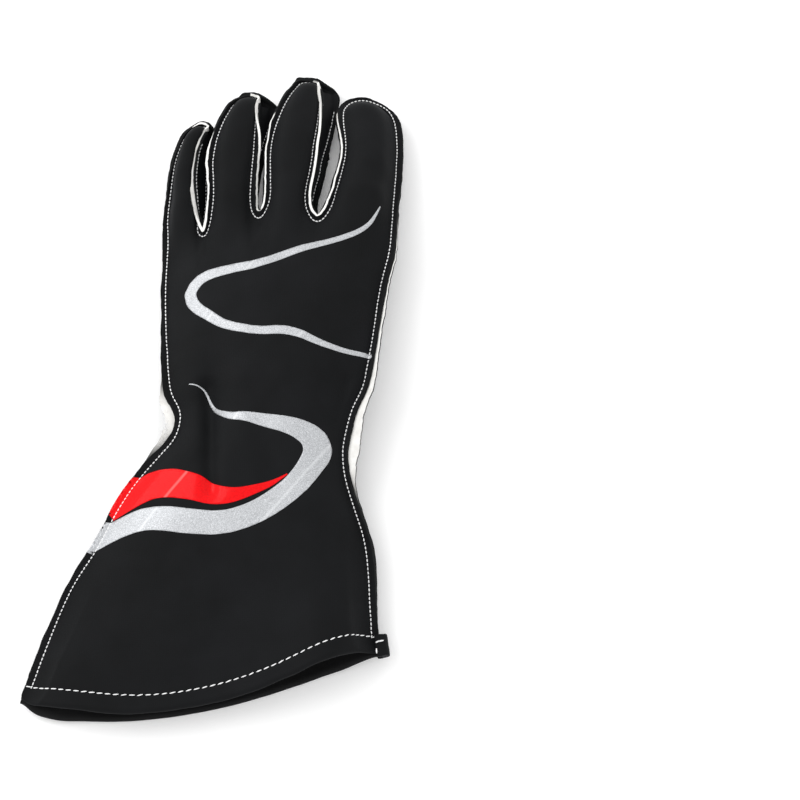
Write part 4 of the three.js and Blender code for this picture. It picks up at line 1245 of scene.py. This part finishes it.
def run_over_edge(point):
    """Moves an outline point near the cut edge past it, so that the film ends where the cloth does."""
    _, nearest, gap = back["edges"].find(point)
    return point + back["ways"][nearest] * max(0, TRIM_REACH - gap) * PUSH_PAST

# %% [markdown]
# ## Pressing the film on
# The film is as thin as paper and follows every fold of the cloth. So each stripe is one flat
# face cut to its outline, sliced into a fine grid by planes, and then dropped onto the finished
# back. A shrinkwrap modifier could drop it too, but it leaves a point where it is when there is no
# cloth under it. Here such a point goes to the nearest cloth instead.

# %% Film stripes
FILM = 0.12 * MM
GRID_STEP = 1.0 * MM
TOP_UP = 0.35  # the faces of a film's node that look up at least this much are its top
ABOVE_ALL = 60 * MM  # rays start here, above the glove
CUT_MERGE, FILM_MERGE = 0.001 * MM, 0.15 * MM  # nearer points become one, in a cut and at the end


def press_film(node, name, material):
    """Cuts a flat sheet to the outline of a film node, grids it and lays it on the back."""
    rough = cad_quads(node, lowest_up=TOP_UP)
    outline = [run_over_edge(p) for p in smooth_outline(rough)]
    rough.free()
    bm = bmesh.new()
    sheet = bm.faces.new([bm.verts.new((p.x, p.y, 0)) for p in outline])
    sheet.normal_update()
    if sheet.normal.z < 0:
        sheet.normal_flip()
    for axis in (0, 1):
        across = Vector((1 - axis, axis, 0))
        places = [p[axis] for p in outline]
        for place in np.arange(min(places) + GRID_STEP / 2, max(places), GRID_STEP):
            bmesh.ops.bisect_plane(bm, geom=[*bm.verts, *bm.edges, *bm.faces], dist=CUT_MERGE,
                                   plane_co=across * float(place), plane_no=across)
    for vert in bm.verts:
        above = Vector((vert.co.x, vert.co.y, ABOVE_ALL))
        place, normal, _, _ = back["surface"].ray_cast(above, Vector((0, 0, -1)))
        if place is None:
            place, normal, _, _ = back["surface"].find_nearest(vert.co)
        vert.co = place + normal * FILM / 2
    bmesh.ops.remove_doubles(bm, verts=bm.verts, dist=FILM_MERGE)
    obj = new_object(bm, name)
    skin = obj.modifiers.new("skin", "SOLIDIFY")
    skin.thickness = FILM
    skin.offset = 1
    obj.data.materials.append(material)
    obj.data.shade_smooth()
    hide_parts(node)
    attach(obj, "root")
    print(name, "faces", len(obj.data.polygons))


press_film("upper_stripe", "upper_stripe_film", silver)
press_film("lower_stripe", "lower_stripe_film", silver)
press_film("red_flash", "red_flash_film", red)

# %% [markdown]
# ## The tab at the cuff's corner
# Where the hem ends at the thumb side, the cloth is doubled over into a small tab and held by two
# bar tacks. The model's block gets round edges from a bevel, a bulge from subdivision, and knit.

# %% Corner tab
TAB_BEVEL = 0.45 * MM
TAB_DENT, TAB_DENT_SIZE = 0.35 * MM, 3 * MM  # depth and size of its soft dents

bm = cad_quads("corner_tab")
bmesh.ops.bevel(bm, geom=bm.edges, offset=TAB_BEVEL, offset_type="OFFSET", segments=1, profile=0.5,
                affect="EDGES", material=-1, clamp_overlap=True)
tab = new_object(bm, "folded_tab")
round_off = tab.modifiers.new("round", "SUBSURF")
round_off.levels = round_off.render_levels = 2
soft = evaluated_mesh(tab)
tab.modifiers.clear()
tab.data = soft
for vert in soft.vertices:
    vert.co += vert.normal * TAB_DENT * noise.noise(vert.co / TAB_DENT_SIZE)
soft.materials.append(knit_cloth)
soft.shade_smooth()
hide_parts("corner_tab")
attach(tab, "root")
print("Tab faces:", len(soft.polygons))

# %% Bar tacks
# The two ends of each tack, in mm.
TACKS = [((79.6, -137.6, 13), (83.6, -136.6, 13)), ((79.4, -143.4, 13), (80.2, -140.2, 13))]
TACK_PITCH, TACK_STITCH, TACK_THREAD = 2.3 * MM, 2.8 * MM, 0.9 * MM
TACK_REACH = 5 * MM  # a tack that starts further than this from the tab is sewn on the back

tab_surface = surface_of(tab)
for number, (start, end) in enumerate(TACKS, 1):
    ends = [Vector(start) * MM, Vector(end) * MM]
    on_tab = (tab_surface.find_nearest(ends[0])[0] - ends[0]).length <= TACK_REACH
    target = tab_surface if on_tab else back["surface"]
    sew(f"bar_tack_{number}", [ends], target, TACK_PITCH, TACK_STITCH, TACK_THREAD)

# %% [markdown]
# ## Loose fibres
# The palm's cut foam sheds a few fibres where it was trimmed by hand at the wrist. Each is a short
# thin curve that starts in the white edge and wanders off.

# %% Loose fibres
FIBRES = 90
FIBRE_THICKNESS = 0.16 * MM
FIBRE_POINTS = 5
THINNING = 0.15  # the share of its thickness that each point loses
SHED_WIDTH = 1.5 * MM  # fibres come loose where the palm stands out more than this
START_ABOVE = Vector((0, 0, 1.4)) * MM
ACROSS, ALONG, HEIGHTS = 1.5, 5, (-0.5, 1)  # how far the starts scatter, in mm
FIRST_SWAY, FIRST_RISE = 1.2, (0, 0.7)  # the first way strays along the edge and upwards
TURNS = (0.5, 0.5, 0.3)  # how much the way turns at each point
STEP_LENGTHS = (0.5, 1.1)  # in mm
LOWEST = 0.2 * MM


def shed_fibres(runs, count):
    """Curves that start near the palm's edge, point outwards and turn a little at each step."""
    chance = random.Random(7)
    starts = [rim for run in runs for _, rim in run if palm_spare(rim) > SHED_WIDTH]
    curve = bpy.data.curves.new("wrist_fibres", "CURVE")
    curve.dimensions = "3D"
    curve.bevel_depth = FIBRE_THICKNESS / 2
    curve.bevel_resolution = 1
    for _ in range(count):
        at = chance.choice(starts)
        scatter = Vector((chance.gauss(0, ACROSS), chance.gauss(0, ALONG), chance.uniform(*HEIGHTS)))
        point = palm["surface"].find_nearest(at + scatter * MM)[0] + START_ABOVE
        out, sway, rise = 1 if at.x > 0 else -1, chance.gauss(0, FIRST_SWAY), chance.uniform(*FIRST_RISE)
        way = Vector((out, sway, rise)).normalized()
        spline = curve.splines.new("POLY")
        spline.points.add(FIBRE_POINTS - 1)
        for k in range(FIBRE_POINTS):
            spline.points[k].co = (*point, 1)
            spline.points[k].radius = 1 - THINNING * k
            way = (way + Vector([chance.gauss(0, turn) for turn in TURNS])).normalized()
            point = point + way * chance.uniform(*STEP_LENGTHS) * MM
            point.z = max(point.z, LOWEST)
    fibres = bpy.data.objects.new("wrist_fibres", curve)
    bpy.context.scene.collection.objects.link(fibres)
    curve.materials.append(thread)
    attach(fibres, "root")
    print("Fibres:", len(curve.splines))


shed_fibres(palm["runs"], FIBRES)

# %% [markdown]
# ## Table
# The glove lies on a white table. Painted board is matte, with only a faint shadow in it. A little
# emission keeps it as pale as a studio table that is lit from all sides, without more lamps.

# %% Table
TABLE_REACH = 4  # metres from its middle to its edge
TABLE_DEPTH = 0.3 * MM  # just under the cloth, so the two don't share a plane


def table_material():
    material, tree = new_material("table_paint_white")
    shader = add(tree, "ShaderNodeBsdfPrincipled", {
        "Base Color": linear("FAFAFA"), "Roughness": 0.7,
        "Emission Color": linear("FFFFFF"), "Emission Strength": 0.12,
    })
    finish_material(tree, shader)
    return material


bm = bmesh.new()
bmesh.ops.create_grid(bm, x_segments=4, y_segments=4, size=TABLE_REACH)
bmesh.ops.translate(bm, verts=bm.verts, vec=(0, 0, -TABLE_DEPTH))
table = new_object(bm, "table_top")
table.data.materials.append(table_material())
table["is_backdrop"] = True
print("Table faces:", len(table.data.polygons))

# %% [markdown]
# ## Light
# The light is broad and soft, as in a light tent. A white world gives the fill, and one large soft
# lamp on the left gives the folds their shade. The standard view transform keeps white white.

# %% Light
WORLD_STRENGTH = 1.05
LAMP_SIZE, LAMP_POWER = 1.1, 8  # metres and watts
LAMP_PLACE = (-0.9, 0.45, 0.95)

world = bpy.data.worlds.new("studio")
world.use_nodes = True
background = world.node_tree.nodes["Background"]
background.inputs["Color"].default_value = (1, 1, 1, 1)
background.inputs["Strength"].default_value = WORLD_STRENGTH
bpy.context.scene.world = world

lamp_data = bpy.data.lights.new("soft_box", "AREA")
lamp_data.size = LAMP_SIZE
lamp_data.energy = LAMP_POWER
lamp = bpy.data.objects.new("soft_box", lamp_data)
lamp.location = LAMP_PLACE
lamp.rotation_mode = "QUATERNION"
lamp.rotation_quaternion = (LOOK_AT - lamp.location).to_track_quat("-Z", "Y")
bpy.context.scene.collection.objects.link(lamp)
bpy.context.scene.view_settings.view_transform = "Standard"
print("Lamp to glove in metres:", round((LOOK_AT - lamp.location).length, 2))

# %% [markdown]
# ## Sizes
# Thread and folds may stand a little proud of the model, so the size of what is drawn is printed.

# %% Sizes
low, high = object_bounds()
print("Visual size in mm:", [round(side / MM, 1) for side in high - low])
